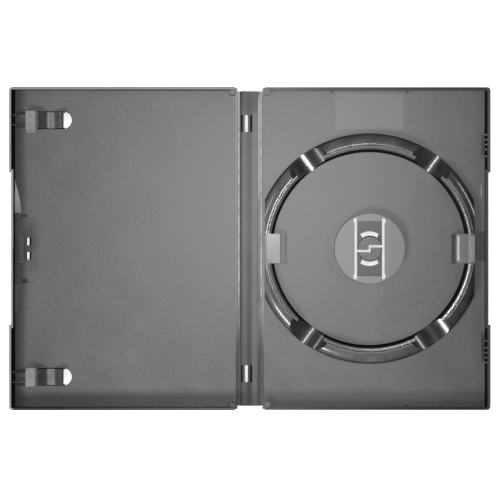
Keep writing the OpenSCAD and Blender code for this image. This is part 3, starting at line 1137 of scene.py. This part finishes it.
@dataclass
class DiscRing:
    """Ring round the disc, revolved as one smooth form, with its finger scoops and its side gaps."""

    steps: int = 256
    bed: Span = (56.3 * MM, 68.4 * MM)
    ledge_foot: float = 57.0 * MM
    ledge_edge: float = 58.6 * MM
    ledge_top: float = 4.4 * MM
    wall: float = 60.6 * MM
    crest: float = 61.3 * MM
    crest_top: float = 6.8 * MM
    outer_foot: float = 68.2 * MM
    dark_foot: float = 66.8 * MM
    deep: float = 60 * MM
    flat_length: float = 160 * MM
    gap_length: float = 180 * MM
    play: float = 0.03 * MM
    skin: float = 1.1 * MM
    flat: float = 61.71 * MM
    gap_half: float = 8.69 * MM
    scoop_angle: float = math.radians(54)
    scoop_radius: float = 18 * MM
    scoop_low: float = 1.7 * MM
    reach: Span = (50 * MM, 76 * MM)

    def arc(self, middle: float, half_width: float, height: float, count: int) -> Profile:
        """Lists points of a quarter ellipse on the floor's top, from its crown outwards.

        Args:
            middle: Radius at which its centre stands.
            half_width: Half axis along the radius.
            height: Half axis upwards.
            count: How many steps it has.

        Returns:
            Radius and height of each point.
        """
        quarter = math.radians(90)
        angles = [quarter - quarter * index / count for index in range(count + 1)]
        return [(middle + half_width * math.cos(angle), FLOOR_TOP + height * math.sin(angle)) for angle in angles]

    def outside(self) -> Profile:
        """Lists the outer profile from the inner edge of the bed to the outer one.

        Returns:
            Radius and height of each point.
        """
        rise = self.crest_top - FLOOR_TOP
        lip = self.crest - self.wall
        rounded = [
            (self.crest - lip * math.cos(turn), self.crest_top - lip + lip * math.sin(turn))
            for turn in (math.radians(angle) for angle in (0, 18, 36, 54, 72))
        ]
        return [
            (self.bed[0], SLEEVE_TOP),
            (self.bed[0], FLOOR_TOP),
            (self.ledge_foot, FLOOR_TOP),
            (self.ledge_edge - 0.15 * MM, self.ledge_top - 0.35 * MM),
            (self.ledge_edge, self.ledge_top - 0.12 * MM),
            (self.ledge_edge + 0.25 * MM, self.ledge_top),
            (self.wall, self.ledge_top),
            *rounded,
            *self.arc(self.crest, self.outer_foot - self.crest, rise, 18),
            (self.bed[1], FLOOR_TOP),
            (self.bed[1], SLEEVE_TOP),
        ]

    def inside(self) -> Profile:
        """Lists the profile of the hollow under the ring.

        Returns:
            Radius and height of each point.
        """
        rise = self.crest_top - FLOOR_TOP - self.skin
        start = self.wall + self.skin
        width = self.outer_foot - self.skin - start
        return [
            (self.ledge_foot + 0.6 * MM, -self.skin),
            (self.ledge_edge + 0.6 * MM, self.ledge_top - self.skin),
            (start, self.ledge_top - self.skin),
            *self.arc(start, width, rise, 10),
            (self.outer_foot - self.skin, -self.skin),
        ]

    def revolve(self, name: str, profile: Profile) -> bpy.types.Object:
        """Draws a closed profile and spins it round the disc's centre.

        Args:
            name: Name of the new object.
            profile: Radius and height of each point.

        Returns:
            The closed ring.
        """
        ring = draw_line(name, [(HUB.x + radius, 0.0, height) for radius, height in (*profile, profile[0])])
        bpy.ops.mesh.remove_doubles(threshold=0.001 * MM)
        bpy.ops.mesh.spin(steps=self.steps, angle=math.tau, center=HUB, axis=(0.0, 0.0, 1.0))
        bpy.ops.mesh.select_all(action="SELECT")
        bpy.ops.mesh.remove_doubles(threshold=0.002 * MM)
        bpy.ops.mesh.normals_make_consistent(inside=False)
        bpy.ops.object.mode_set(mode="OBJECT")
        settle(ring)
        return ring

    def scoops(self, grow: float, gap_half: float) -> bpy.types.Object:
        """Makes the cutter for the four finger scoops and the two gaps.

        Args:
            grow: How much wider than the scoop its cylinder is.
            gap_half: Half width of the gaps.

        Returns:
            One object of four cylinders and two blocks that don't touch.
        """
        parts = []
        middle = (self.reach[0] + self.reach[1]) / 2
        length = self.reach[1] - self.reach[0]
        height = self.scoop_low + self.scoop_radius
        for angle in self.scoop_angles():
            deselect_all()
            bpy.ops.mesh.primitive_cylinder_add(
                vertices=self.steps,
                radius=self.scoop_radius + grow,
                depth=length,
                location=HUB + Vector((middle * math.cos(angle), middle * math.sin(angle), height)),
                rotation=(0.0, math.pi / 2, angle),
            )
            parts.append(active())
        for side in Side:
            parts.append(add_block(HUB + Vector((side.value * middle, 0.0, 0.0)), (length, 2 * gap_half, self.deep)))
        return join(parts, "scoop_cutter")

    def between_flats(self, half: float) -> bpy.types.Object:
        """Makes the block that the two flats leave, from half its width."""
        return add_block(HUB, (2 * half, self.flat_length, self.deep))

    def gaps(self) -> bpy.types.Object:
        """Makes the cutter for the two gaps alone, a little wider than they are."""
        return add_block(HUB, (self.gap_length, 2 * (self.gap_half + self.play), self.deep))

    def bed_cutter(self) -> bpy.types.Object:
        """Makes the cutter that frees the ring's place in the tray.

        Returns:
            Two arcs, as deep as the tray.
        """
        low, high = -2 * MM, 12 * MM
        inner, outer = self.bed
        cutter = self.revolve("bed_cutter", [(inner, low), (inner, high), (outer, high), (outer, low)])
        combine(cutter, "DIFFERENCE", self.gaps())
        combine(cutter, "INTERSECT", self.between_flats(self.flat + 0.01 * MM))
        return cutter

    def scoop_angles(self) -> tuple[float, ...]:
        """Gives the directions of the four scoops from the disc's centre."""
        angle = self.scoop_angle
        return (angle, math.pi - angle, math.pi + angle, -angle)

    def is_scoop(self, centre: Vector, normal: Vector) -> bool:
        """Tells whether a face is the hollow of a finger scoop.

        Args:
            centre: The face's centre.
            normal: The face's normal.

        Returns:
            True in one of the four hollows.
        """
        offset = centre - HUB
        rise = offset.z - self.scoop_low - self.scoop_radius
        for angle in self.scoop_angles():
            along = offset.x * math.cos(angle) + offset.y * math.sin(angle)
            aside = offset.y * math.cos(angle) - offset.x * math.sin(angle)
            if along > 0.0 and abs(math.hypot(aside, rise) - self.scoop_radius) < 0.1 * MM and normal.z > 0.1:
                return True
        return False

    def is_foot(self, centre: Vector, normal: Vector) -> bool:
        """Tells whether a face is the steep outer foot of the ring."""
        radius = Vector((centre.x - HUB.x, centre.y - HUB.y)).length
        return centre.z > FLOOR_TOP + 0.05 * MM and radius > self.dark_foot and normal.z > 0.05

    def is_ledge_side(self, centre: Vector, normal: Vector) -> bool:
        """Tells whether a face is the steep side of the ledge, towards the disc's centre."""
        radius = Vector((centre.x - HUB.x, centre.y - HUB.y)).length
        return centre.z > FLOOR_TOP and self.ledge_foot < radius < self.ledge_edge + 0.1 * MM and normal.z > 0.1

    def build(self, finishes: Finishes) -> bpy.types.Object:
        """Makes the ring and hangs it on the tray.

        Args:
            finishes: The materials.

        Returns:
            The finished piece.
        """
        ring = self.revolve("disc_ring", self.outside())
        combine(ring, "DIFFERENCE", self.scoops(0.0, self.gap_half))
        combine(ring, "INTERSECT", self.between_flats(self.flat))
        hollow = self.revolve("ring_hollow", self.inside())
        combine(hollow, "DIFFERENCE", self.scoops(self.scoop_low, self.gap_half + self.skin))
        combine(hollow, "INTERSECT", self.between_flats(self.flat - self.skin))
        combine(ring, "DIFFERENCE", hollow)
        with editing(ring):
            bpy.ops.mesh.remove_doubles(threshold=0.004 * MM)
        bpy.ops.object.shade_smooth_by_angle(angle=math.radians(30))
        # The polished finish carries painted sheen; the wall finish paints shade on the ledge's steep side and the
        # scoop finish paints shade in the scoops and on the outer foot.
        dress_faces(
            ring,
            finishes.polished,
            [
                (finishes.grained, lambda centre, normal: centre.z < FLOOR_TOP + 0.01 * MM and normal.z > 0.9),
                (finishes.satin, lambda centre, normal: centre.z < SLEEVE_TOP + 0.01 * MM),
                (finishes.wall, self.is_ledge_side),
                (finishes.scoop, self.is_scoop),
                (finishes.scoop, self.is_foot),
            ],
        )
        hang(ring, Body.TRAY)
        return ring


@dataclass
class Panel(Moulding):
    """Tray or cover, with a rim on its three free edges."""

    half_height: float = 95.0 * MM
    outer_edge: float = 141.6 * MM
    thumb_edge: float = 140.4 * MM
    thumb_half: float = 45 * MM
    rim_wall: float = 1.5 * MM
    rim_reach: float = 2.4 * MM
    margin: float = 138.8 * MM
    slope: Span = (7.3 * MM, 8.6 * MM)

    def carve(self, piece: bpy.types.Object) -> None:
        """Parts the floor where the margin along the outer rim begins, the strip that takes painted shade.

        Args:
            piece: The panel.
        """
        side = Side.BACK if self.body is Body.TRAY else Side.FRONT
        with editing(piece):
            split_at(side.value * self.margin)

    def is_shaded_margin(self, centre: Vector, normal: Vector) -> bool:
        """Tells whether a face is the margin of the floor along the outer rim, which takes painted shade."""
        level = abs(centre.z - FLOOR_TOP) < 0.05 * MM and normal.z > 0.9
        return level and abs(centre.x) > self.margin

    def rim_depth(self, centre: Vector) -> float:
        """Tells how far inside the outline a place lies."""
        edge = self.thumb_edge if abs(centre.y) < self.thumb_half else self.outer_edge
        return min(edge - abs(centre.x), self.half_height - abs(centre.y))

    def is_wall(self, centre: Vector, normal: Vector) -> bool:
        """Tells whether a face is the upright inner side of the rim."""
        upright = abs(normal.z) < 0.5 and centre.z > FLOOR_TOP
        return upright and 0.6 * MM < self.rim_depth(centre) < self.rim_wall + 0.2 * MM

    def is_rim(self, centre: Vector, normal: Vector) -> bool:
        """Tells whether a face is the top of the rim."""
        return centre.z > 4.5 * MM and self.rim_depth(centre) < self.rim_reach and normal.z > 0.3

    def is_foot(self, centre: Vector, normal: Vector) -> bool:
        """Tells whether a face belongs to the rim at the foot, its top or its sides."""
        raised = centre.z > FLOOR_TOP + 0.3 * MM and normal.z > -0.3
        return raised and centre.y < self.rim_reach - self.half_height

    def is_head_rim(self, centre: Vector, normal: Vector) -> bool:
        """Tells whether a face is the top of the rim at the head."""
        return self.is_rim(centre, normal) and centre.y > self.half_height - self.rim_reach

    def is_head_wall(self, centre: Vector, normal: Vector) -> bool:
        """Tells whether a face is the upright inner side of the rim at the head."""
        return self.is_wall(centre, normal) and centre.y > self.half_height - self.rim_reach

    def is_slope(self, centre: Vector, normal: Vector) -> bool:
        """Tells whether a face leads down to the living hinge."""
        return self.slope[0] < abs(centre.x) < self.slope[1] and slopes(normal)


@dataclass
class Tray(Panel):
    """Disc tray without its ring, with the pads, the seat and the catch bar."""

    ring: DiscRing = field(default_factory=DiscRing)
    pad_half: float = 9.0 * MM
    pad_inner: float = 48.0 * MM
    pad_outer: float = 62.0 * MM
    seat: float = 21.2 * MM
    label: tuple[float, float, float] = (20.3 * MM, 70.4 * MM, 91.8 * MM)
    step: float = 0.06 * MM

    def carve(self, piece: bpy.types.Object) -> None:
        """Frees the place of the ring."""
        super().carve(piece)
        combine(piece, "DIFFERENCE", self.ring.bed_cutter())

    def offset(self, centre: Vector) -> Vector:
        """Gives a place as seen from the disc's centre."""
        return Vector((centre.x - HUB.x, centre.y - HUB.y))

    def is_pad(self, centre: Vector, normal: Vector) -> bool:
        """Tells whether a face belongs to a pad or the catch bar.

        Args:
            centre: The face's centre.
            normal: The face's normal, which doesn't matter here.

        Returns:
            True on both pads and the bar.
        """
        offset = self.offset(centre)
        raised = centre.z > FLOOR_TOP + self.step
        return raised and abs(offset.y) < self.pad_half and self.pad_inner < abs(offset.x) < self.pad_outer

    def is_seat(self, centre: Vector, normal: Vector) -> bool:
        """Tells whether a face belongs to the seat under the disc."""
        return centre.z > FLOOR_TOP + self.step and self.offset(centre).length < self.seat and normal.z > 0.5

    def is_label(self, centre: Vector, normal: Vector) -> bool:
        """Tells whether a face is the floor of the shallow panel at the head.

        Args:
            centre: The face's centre.
            normal: The face's normal.

        Returns:
            True inside the panel.
        """
        half, low, high = self.label
        inside = abs(centre.x - HUB.x) < half and low < centre.y < high
        return inside and centre.z < FLOOR_TOP - 0.1 * MM and normal.z > 0.9

    def is_hollow(self, centre: Vector, normal: Vector) -> bool:
        """Tells whether a face lies in the hollow of a raised form."""
        return centre.z < FLOOR_TOP - 0.1 * MM and abs(normal.z) < 0.5

    def dress(self, piece: bpy.types.Object, finishes: Finishes) -> None:
        """Grained floor; the pad finish on the pads and the catch bar, with painted shade and highlights; painted
        sheen on the seat; a paler label panel; the painted glint on the slope; satin rim tops and head walls; painted
        shade on the other walls, the margin, the foot and the head rim; satin underside and hollows.

        Args:
            piece: The tray.
            finishes: The materials.
        """
        dress_faces(
            piece,
            finishes.grained,
            [
                (finishes.pad, self.is_pad),
                (finishes.seat, self.is_seat),
                (finishes.label, self.is_label),
                (finishes.painted_glint, self.is_slope),
                (finishes.satin, self.is_rim),
                (finishes.wall, self.is_wall),
                (finishes.wall, self.is_shaded_margin),
                (finishes.satin, self.is_head_wall),
                (finishes.shaded_rim, self.is_foot),
                (finishes.shaded_rim, self.is_head_rim),
                (finishes.satin, self.is_underside),
                (finishes.satin, self.is_hollow),
            ],
        )


@dataclass
class Cover(Panel):
    """Cover with its clip blocks and its hook."""

    hook_x: Span = (-139.0 * MM, -128.0 * MM)
    hook_half: float = 9.0 * MM
    block_x: Span = (-132.6 * MM, -126.0 * MM)
    block_y: Span = (68.0 * MM, 82.0 * MM)

    def is_hook(self, centre: Vector, normal: Vector) -> bool:
        """Tells whether a face belongs to the hook."""
        return self.hook_x[0] < centre.x < self.hook_x[1] and abs(centre.y) < self.hook_half and centre.z > FLOOR_TOP

    def is_clip_block(self, centre: Vector, normal: Vector) -> bool:
        """Tells whether a face belongs to the block that carries a clip."""
        beside = self.block_x[0] < centre.x < self.block_x[1] and self.block_y[0] < abs(centre.y) < self.block_y[1]
        return beside and centre.z > FLOOR_TOP + 0.3 * MM and normal.z > 0.2

    def dress(self, piece: bpy.types.Object, finishes: Finishes) -> None:
        """Grained floor; the pad finish on the hook, with painted shade; painted sheen on the clip blocks; the painted
        glint on the slope; painted light on the rim tops; painted shade on the walls, the margin and the foot; satin
        head walls and underside.

        Args:
            piece: The cover.
            finishes: The materials.
        """
        dress_faces(
            piece,
            finishes.grained,
            [
                (finishes.pad, self.is_hook),
                (finishes.seat, self.is_clip_block),
                (finishes.painted_glint, self.is_slope),
                (finishes.rim, self.is_rim),
                (finishes.wall, self.is_wall),
                (finishes.wall, self.is_shaded_margin),
                (finishes.satin, self.is_head_wall),
                (finishes.shaded_rim, self.is_foot),
                (finishes.satin, self.is_underside),
            ],
        )


@dataclass
class Spine(Moulding):
    """Spine with its two raised strips."""

    slope_start: float = 4.7 * MM
    slots: Span = (68.0 * MM, 80.0 * MM)

    def is_tray_slope(self, centre: Vector, normal: Vector) -> bool:
        """Tells whether a face slopes down to the tray's hinge."""
        return centre.x > self.slope_start and slopes(normal)

    def is_cover_slope(self, centre: Vector, normal: Vector) -> bool:
        """Tells whether a face slopes down to the cover's hinge."""
        return centre.x < -self.slope_start and slopes(normal)

    def is_slot(self, centre: Vector, normal: Vector) -> bool:
        """Tells whether a face is the bottom of one of the blind slots."""
        return self.slots[0] < abs(centre.y) < self.slots[1] and centre.z < 1.0 * MM and normal.z > 0.9

    def dress(self, piece: bpy.types.Object, finishes: Finishes) -> None:
        """Grained all over, with painted shade along its strips, its groove and round its slots; the painted glint on
        the slope to the tray and satin on the one to the cover; painted shade in the slots; satin underside.

        Args:
            piece: The spine.
            finishes: The materials.
        """
        dress_faces(
            piece,
            finishes.grained,
            [
                (finishes.painted_glint, self.is_tray_slope),
                (finishes.satin, self.is_cover_slope),
                (finishes.satin, self.is_underside),
                (finishes.wall, self.is_slot),
            ],
        )


@dataclass
class Tongue(Moulding):
    """Sprung tongue with half of the split button."""

    edge: float = 0.10 * MM
    tongue_top: float = 4.4 * MM

    def dress(self, piece: bpy.types.Object, finishes: Finishes) -> None:
        """Grained tongue, smooth button."""
        dress_faces(piece, finishes.grained, [(finishes.sprung, self.is_button)])

    def is_button(self, centre: Vector, normal: Vector) -> bool:
        """Tells whether a face belongs to the button or is one of the tongue's upright sides."""
        return centre.z > self.tongue_top + 0.02 * MM or abs(normal.z) < 0.5


@dataclass
class Leaf(Moulding):
    """Sprung leaf that holds the booklet, which leaves the mould with smooth faces."""

    edge: float = 0.10 * MM

    def dress(self, piece: bpy.types.Object, finishes: Finishes) -> None:
        """Smooth all over."""
        dress_faces(piece, finishes.leaf)


@dataclass
class LivingHinge:
    """Thin web between the spine and a panel, coined along its middle."""

    side: Side
    node: str
    panel: Body
    line: float = HINGE_LINE
    half_width: float = 0.8 * MM
    half_length: float = 93.0 * MM
    coin_depth: float = 0.16 * MM
    coin_reaches: Span = (0.55, 0.3)
    cuts: int = 10

    def build(self, finishes: Finishes) -> bpy.types.Object:
        """Makes the web; it rides on no body and does not bend.

        Args:
            finishes: The materials.

        Returns:
            The finished piece.
        """
        middle = self.side.value * self.line
        size = (2 * self.half_width, 2 * self.half_length, WEB_TOP - SLEEVE_TOP)
        piece = add_block((middle, 0.0, (SLEEVE_TOP + WEB_TOP) / 2), size)
        piece.name = f"{self.node}_strip"
        with editing(piece):
            for index in range(1, self.cuts):
                split_at(middle + self.half_width * (2 * index / self.cuts - 1))
            for share in self.coin_reaches:
                reach = share * self.half_width
                pick_points(piece, lambda co, reach=reach: co.z > FLOOR_TOP / 2 and abs(co.x - middle) < reach)
                bpy.ops.transform.translate(value=(0.0, 0.0, -self.coin_depth / len(self.coin_reaches)))
        bpy.ops.object.shade_smooth_by_angle(angle=math.radians(40))
        dress_faces(piece, finishes.web)
        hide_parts(self.node)
        reach = self.side.value * self.half_width
        stretch(piece, self.panel, (middle - reach, middle + reach), Slot.WEB)
        return piece


@dataclass
class FilmSheet:
    """One stretch of the clear outer sleeve: a flat one with the weld that closes it, or one over a hinge, parted
    across into strips.
    """

    name: str
    body: Body
    low_x: float
    high_x: float
    half_length: float = 94.5 * MM
    weld_inset: float = 1.6 * MM
    weld_width: float = 0.5 * MM
    weld_sink: float = 0.06 * MM
    top: float = 0.17 * MM
    bends: bool = False
    cuts: int = 8

    def build(self, finishes: Finishes) -> bpy.types.Object:
        """Makes the sheet and hangs it on its body; a sheet over a hinge rides on no body.

        Args:
            finishes: The materials.

        Returns:
            The finished piece.
        """
        width = self.high_x - self.low_x
        piece = add_block(((self.low_x + self.high_x) / 2, 0.0, self.top / 2), (width, 2 * self.half_length, self.top))
        piece.name = self.name
        with editing(piece):
            if self.bends:
                for index in range(1, self.cuts):
                    split_at(self.low_x + width * index / self.cuts)
            else:
                pick_faces(piece, lambda centre, normal: normal.z < -0.9)
                bpy.ops.mesh.inset(thickness=self.weld_inset, depth=0.0)
                bpy.ops.mesh.inset(thickness=self.weld_width, depth=-self.weld_sink)
                bpy.ops.mesh.inset(thickness=self.weld_width, depth=self.weld_sink)
        dress_faces(piece, finishes.film)
        if self.bends:
            start, end = sorted((self.low_x, self.high_x), key=abs)
            stretch(piece, self.body, (start, end), Slot.SLEEVE)
        else:
            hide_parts(f"{self.body.value}_sleeve")
            hang(piece, self.body)
        return piece


@dataclass
class ShadeSills:
    """Narrow black ledges in the cover's openings, close to the sleeve, that narrow what shows through them: dark
    pieces that paint the shade under the clips and in the latch's holes.
    """

    boxes: tuple[tuple[float, float, float, float], ...] = (
        (-126.2, -109.4, 70.3, 71.5),
        (-126.2, -109.4, 80.3, 81.5),
        (-132.5, -131.9, 1.8, 6.6),
        (-130.5, -129.2, 1.8, 6.6),
    )
    top: float = 0.6 * MM
    edge: float = 0.1 * MM

    def build(self, finishes: Finishes) -> bpy.types.Object:
        """Makes the ledges by the clips and in the latch's holes and hangs them on the cover.

        Args:
            finishes: The materials.

        Returns:
            The finished piece.
        """
        parts = []
        for side in (1.0, -1.0):
            for low_x, high_x, low_y, high_y in self.boxes:
                middle = ((low_x + high_x) / 2 * MM, side * (low_y + high_y) / 2 * MM, (SLEEVE_TOP + self.top) / 2)
                size = ((high_x - low_x) * MM, (high_y - low_y) * MM, self.top - SLEEVE_TOP)
                parts.append(add_block(middle, size))
        piece = join(parts, "opening_shade_sills")
        apply_modifier(piece, "BEVEL", width=self.edge, segments=2)
        # The near-black wall finish makes the ledges painted shade.
        dress_faces(piece, finishes.wall)
        hang(piece, Body.COVER)
        return piece


@dataclass
class ThumbRamp:
    """Two low curved ramps on the cover, between the thumb recess in the rim and the latch."""

    wall: float = -139.4 * MM
    low: float = 21.2 * MM
    high: float = 44.8 * MM
    bulge: float = 4.0 * MM
    height: float = 1.1 * MM
    low_edge: float = 0.16 * MM
    sink: float = 0.1 * MM
    steps: int = 16

    def outline(self, side: float) -> Profile:
        """Lists the ramp's outline from above, first the straight side and then the curved one.

        Args:
            side: 1 for the ramp to the head, -1 for the one to the foot.

        Returns:
            X and Y of each point.
        """
        curve = []
        for index in range(self.steps):
            share = index / self.steps
            bulge = self.bulge * math.cos(share * math.pi / 2) ** 1.5
            curve.append((self.wall + bulge, side * (self.low + share * (self.high - self.low))))
        return [(self.wall, side * self.high), (self.wall, side * self.low), *curve]

    def wedge(self, side: float) -> bpy.types.Object:
        """Draws one ramp point by point, closes it and tips its top.

        Args:
            side: 1 for the ramp to the head, -1 for the one to the foot.

        Returns:
            The closed ramp.
        """
        bottom = FLOOR_TOP - self.sink
        ramp = draw_line("thumb_ramp", [(*point, bottom) for point in self.outline(side)])
        bpy.ops.mesh.edge_face_add()
        bpy.ops.mesh.extrude_region_move(TRANSFORM_OT_translate={"value": (0.0, 0.0, self.height)})
        pick_points(ramp, lambda co: co.z > FLOOR_TOP and co.x > self.wall + 0.01 * MM)
        bpy.ops.transform.translate(value=(0.0, 0.0, self.low_edge - self.height))
        bpy.ops.mesh.select_all(action="SELECT")
        bpy.ops.mesh.quads_convert_to_tris()
        bpy.ops.mesh.normals_make_consistent(inside=False)
        bpy.ops.object.mode_set(mode="OBJECT")
        return ramp

    def build(self, finishes: Finishes) -> bpy.types.Object:
        """Makes both ramps and hangs them on the cover.

        Args:
            finishes: The materials.

        Returns:
            The finished piece.
        """
        piece = join([self.wedge(1.0), self.wedge(-1.0)], "thumb_ramps")
        bpy.ops.object.shade_smooth_by_angle(angle=math.radians(30))
        # The pale rim finish paints light on the ramps.
        dress_faces(piece, finishes.rim)
        hang(piece, Body.COVER)
        return piece


@dataclass
class Case:
    """The whole case, in the order in which it is built."""

    web_edge: float = 7.4 * MM
    spine_edge: float = 5.8 * MM
    outer_edge: float = 141.1 * MM
    mouldings: list[Moulding] = field(
        default_factory=lambda: [
            Tray("tray", Body.TRAY, Slot.TRAY),
            Cover("cover", Body.COVER, Slot.COVER),
            Spine("spine", Body.SPINE, Slot.SPINE),
            Tongue("hub_tongue_upper", Body.UPPER_BUTTON, Slot.TONGUE),
            Tongue("hub_tongue_lower", Body.LOWER_BUTTON, Slot.TONGUE),
            Leaf("clip_upper", Body.UPPER_CLIP, Slot.LEAF),
            Leaf("clip_lower", Body.LOWER_CLIP, Slot.LEAF),
        ]
    )

    def build(self, finishes: Finishes) -> None:
        """Builds every piece.

        Args:
            finishes: The materials.
        """
        for moulding in self.mouldings:
            moulding.build(finishes)
        DiscRing().build(finishes)
        ShadeSills().build(finishes)
        ThumbRamp().build(finishes)
        LivingHinge(Side.BACK, "back_hinge_web", Body.TRAY).build(finishes)
        LivingHinge(Side.FRONT, "front_hinge_web", Body.COVER).build(finishes)
        for sheet in self.sleeve():
            sheet.build(finishes)

    def sleeve(self) -> list[FilmSheet]:
        """Lists the stretches of the clear sleeve.

        Returns:
            Three flat sheets and the two strips over the hinges.
        """
        web, spine, outer = self.web_edge, self.spine_edge, self.outer_edge
        return [
            FilmSheet("tray_film", Body.TRAY, web, outer),
            FilmSheet("cover_film", Body.COVER, -outer, -web),
            FilmSheet("spine_film", Body.SPINE, -spine, spine),
            FilmSheet("back_hinge_film", Body.TRAY, spine, web, bends=True),
            FilmSheet("front_hinge_film", Body.COVER, -web, -spine, bends=True),
        ]


@dataclass(frozen=True)
class SoftLight:
    """A soft light that points at the case."""

    name: str
    place: Point
    size: Span
    power: float
    target: Point = (0.0, 0.0, 0.0)

    def build(self) -> bpy.types.Object:
        """Adds the light.

        Returns:
            The light object.
        """
        deselect_all()
        bpy.ops.object.light_add(type="AREA", location=self.place)
        light = active()
        light.name = self.name
        light.data.shape = "RECTANGLE"
        light.data.size, light.data.size_y = self.size
        light.data.energy = self.power
        aim = Vector(self.target) - Vector(self.place)
        light.rotation_euler = aim.to_track_quat("-Z", "Y").to_euler()
        return light


@dataclass(frozen=True)
class Studio:
    """Floor, lights, surroundings and camera."""

    camera_height: float = 0.95
    camera_place: Span = (0.06 * MM, -0.82 * MM)
    sensor: float = 36.0
    frame_width: float = 0.2962
    floor_size: float = 6.0
    floor_drop: float = 0.02 * MM
    surroundings: Colour = (0.12, 0.12, 0.125, 1.0)
    lights: tuple[SoftLight, ...] = (
        SoftLight("key_light", (-0.72, -1.02, 0.95), (0.90, 0.35), 21.0),
        SoftLight("top_light", (0.03, 0.08, 1.40), (0.14, 0.14), 3.5),
        SoftLight("head_lamp", (0.15, 0.21, 1.40), (0.08, 0.08), 0.8),
        SoftLight("foot_lamp", (-0.03, -0.05, 1.40), (0.07, 0.07), 0.5),
        SoftLight("east_strip", (1.02, 0.30, 0.60), (0.60, 0.12), 2.8),
        SoftLight("west_strip", (-0.85, 0.22, 0.88), (0.60, 0.12), 2.4),
    )

    def build(self) -> None:
        """Sets up everything round the object."""
        self._floor()
        self._world()
        for light in self.lights:
            light.build()
        self._camera()
        bpy.context.scene.view_settings.view_transform = "Standard"

    def _floor(self) -> None:
        """Adds the pale floor just under the sleeve."""
        deselect_all()
        bpy.ops.mesh.primitive_plane_add(size=self.floor_size, location=(0.0, 0.0, -self.floor_drop))
        floor = active()
        floor.name = "pale_floor"
        settle(floor)
        dress_faces(floor, PaleFloor("pale_paper").build())

    def _world(self) -> None:
        """Surrounds the scene with a dim grey room that the camera sees as white."""
        world = bpy.data.worlds.new("studio")
        bpy.context.scene.world = world
        world.use_nodes = True
        graph = Graph(world.node_tree)
        room = world.node_tree.nodes["Background"]
        room.inputs["Color"].default_value = self.surroundings
        white = graph.add("ShaderNodeBackground")
        white.inputs["Color"].default_value = (1.0, 1.0, 1.0, 1.0)
        choice = graph.add("ShaderNodeMixShader")
        path = graph.add("ShaderNodeLightPath")
        graph.link(path.outputs["Is Camera Ray"], choice.inputs["Fac"])
        graph.link(room.outputs["Background"], choice.inputs[1])
        graph.link(white.outputs["Background"], choice.inputs[2])
        graph.link(choice.outputs["Shader"], world.node_tree.nodes["World Output"].inputs["Surface"])

    def _camera(self) -> None:
        """Hangs the camera straight above the case."""
        deselect_all()
        bpy.ops.object.camera_add(location=(*self.camera_place, self.camera_height), rotation=(0.0, 0.0, 0.0))
        camera = active()
        camera.name = "photo_camera"
        camera.data.sensor_width = self.sensor
        camera.data.lens = self.sensor * self.camera_height / self.frame_width
        camera.data.clip_start = 0.01
        bpy.context.scene.camera = camera


def main() -> None:
    """Builds the case and its studio."""
    logging.basicConfig(level=logging.INFO, format="%(name)s: %(message)s")
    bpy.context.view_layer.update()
    Case().build(Finishes())
    Studio().build()


if __name__ == "__main__":
    main()
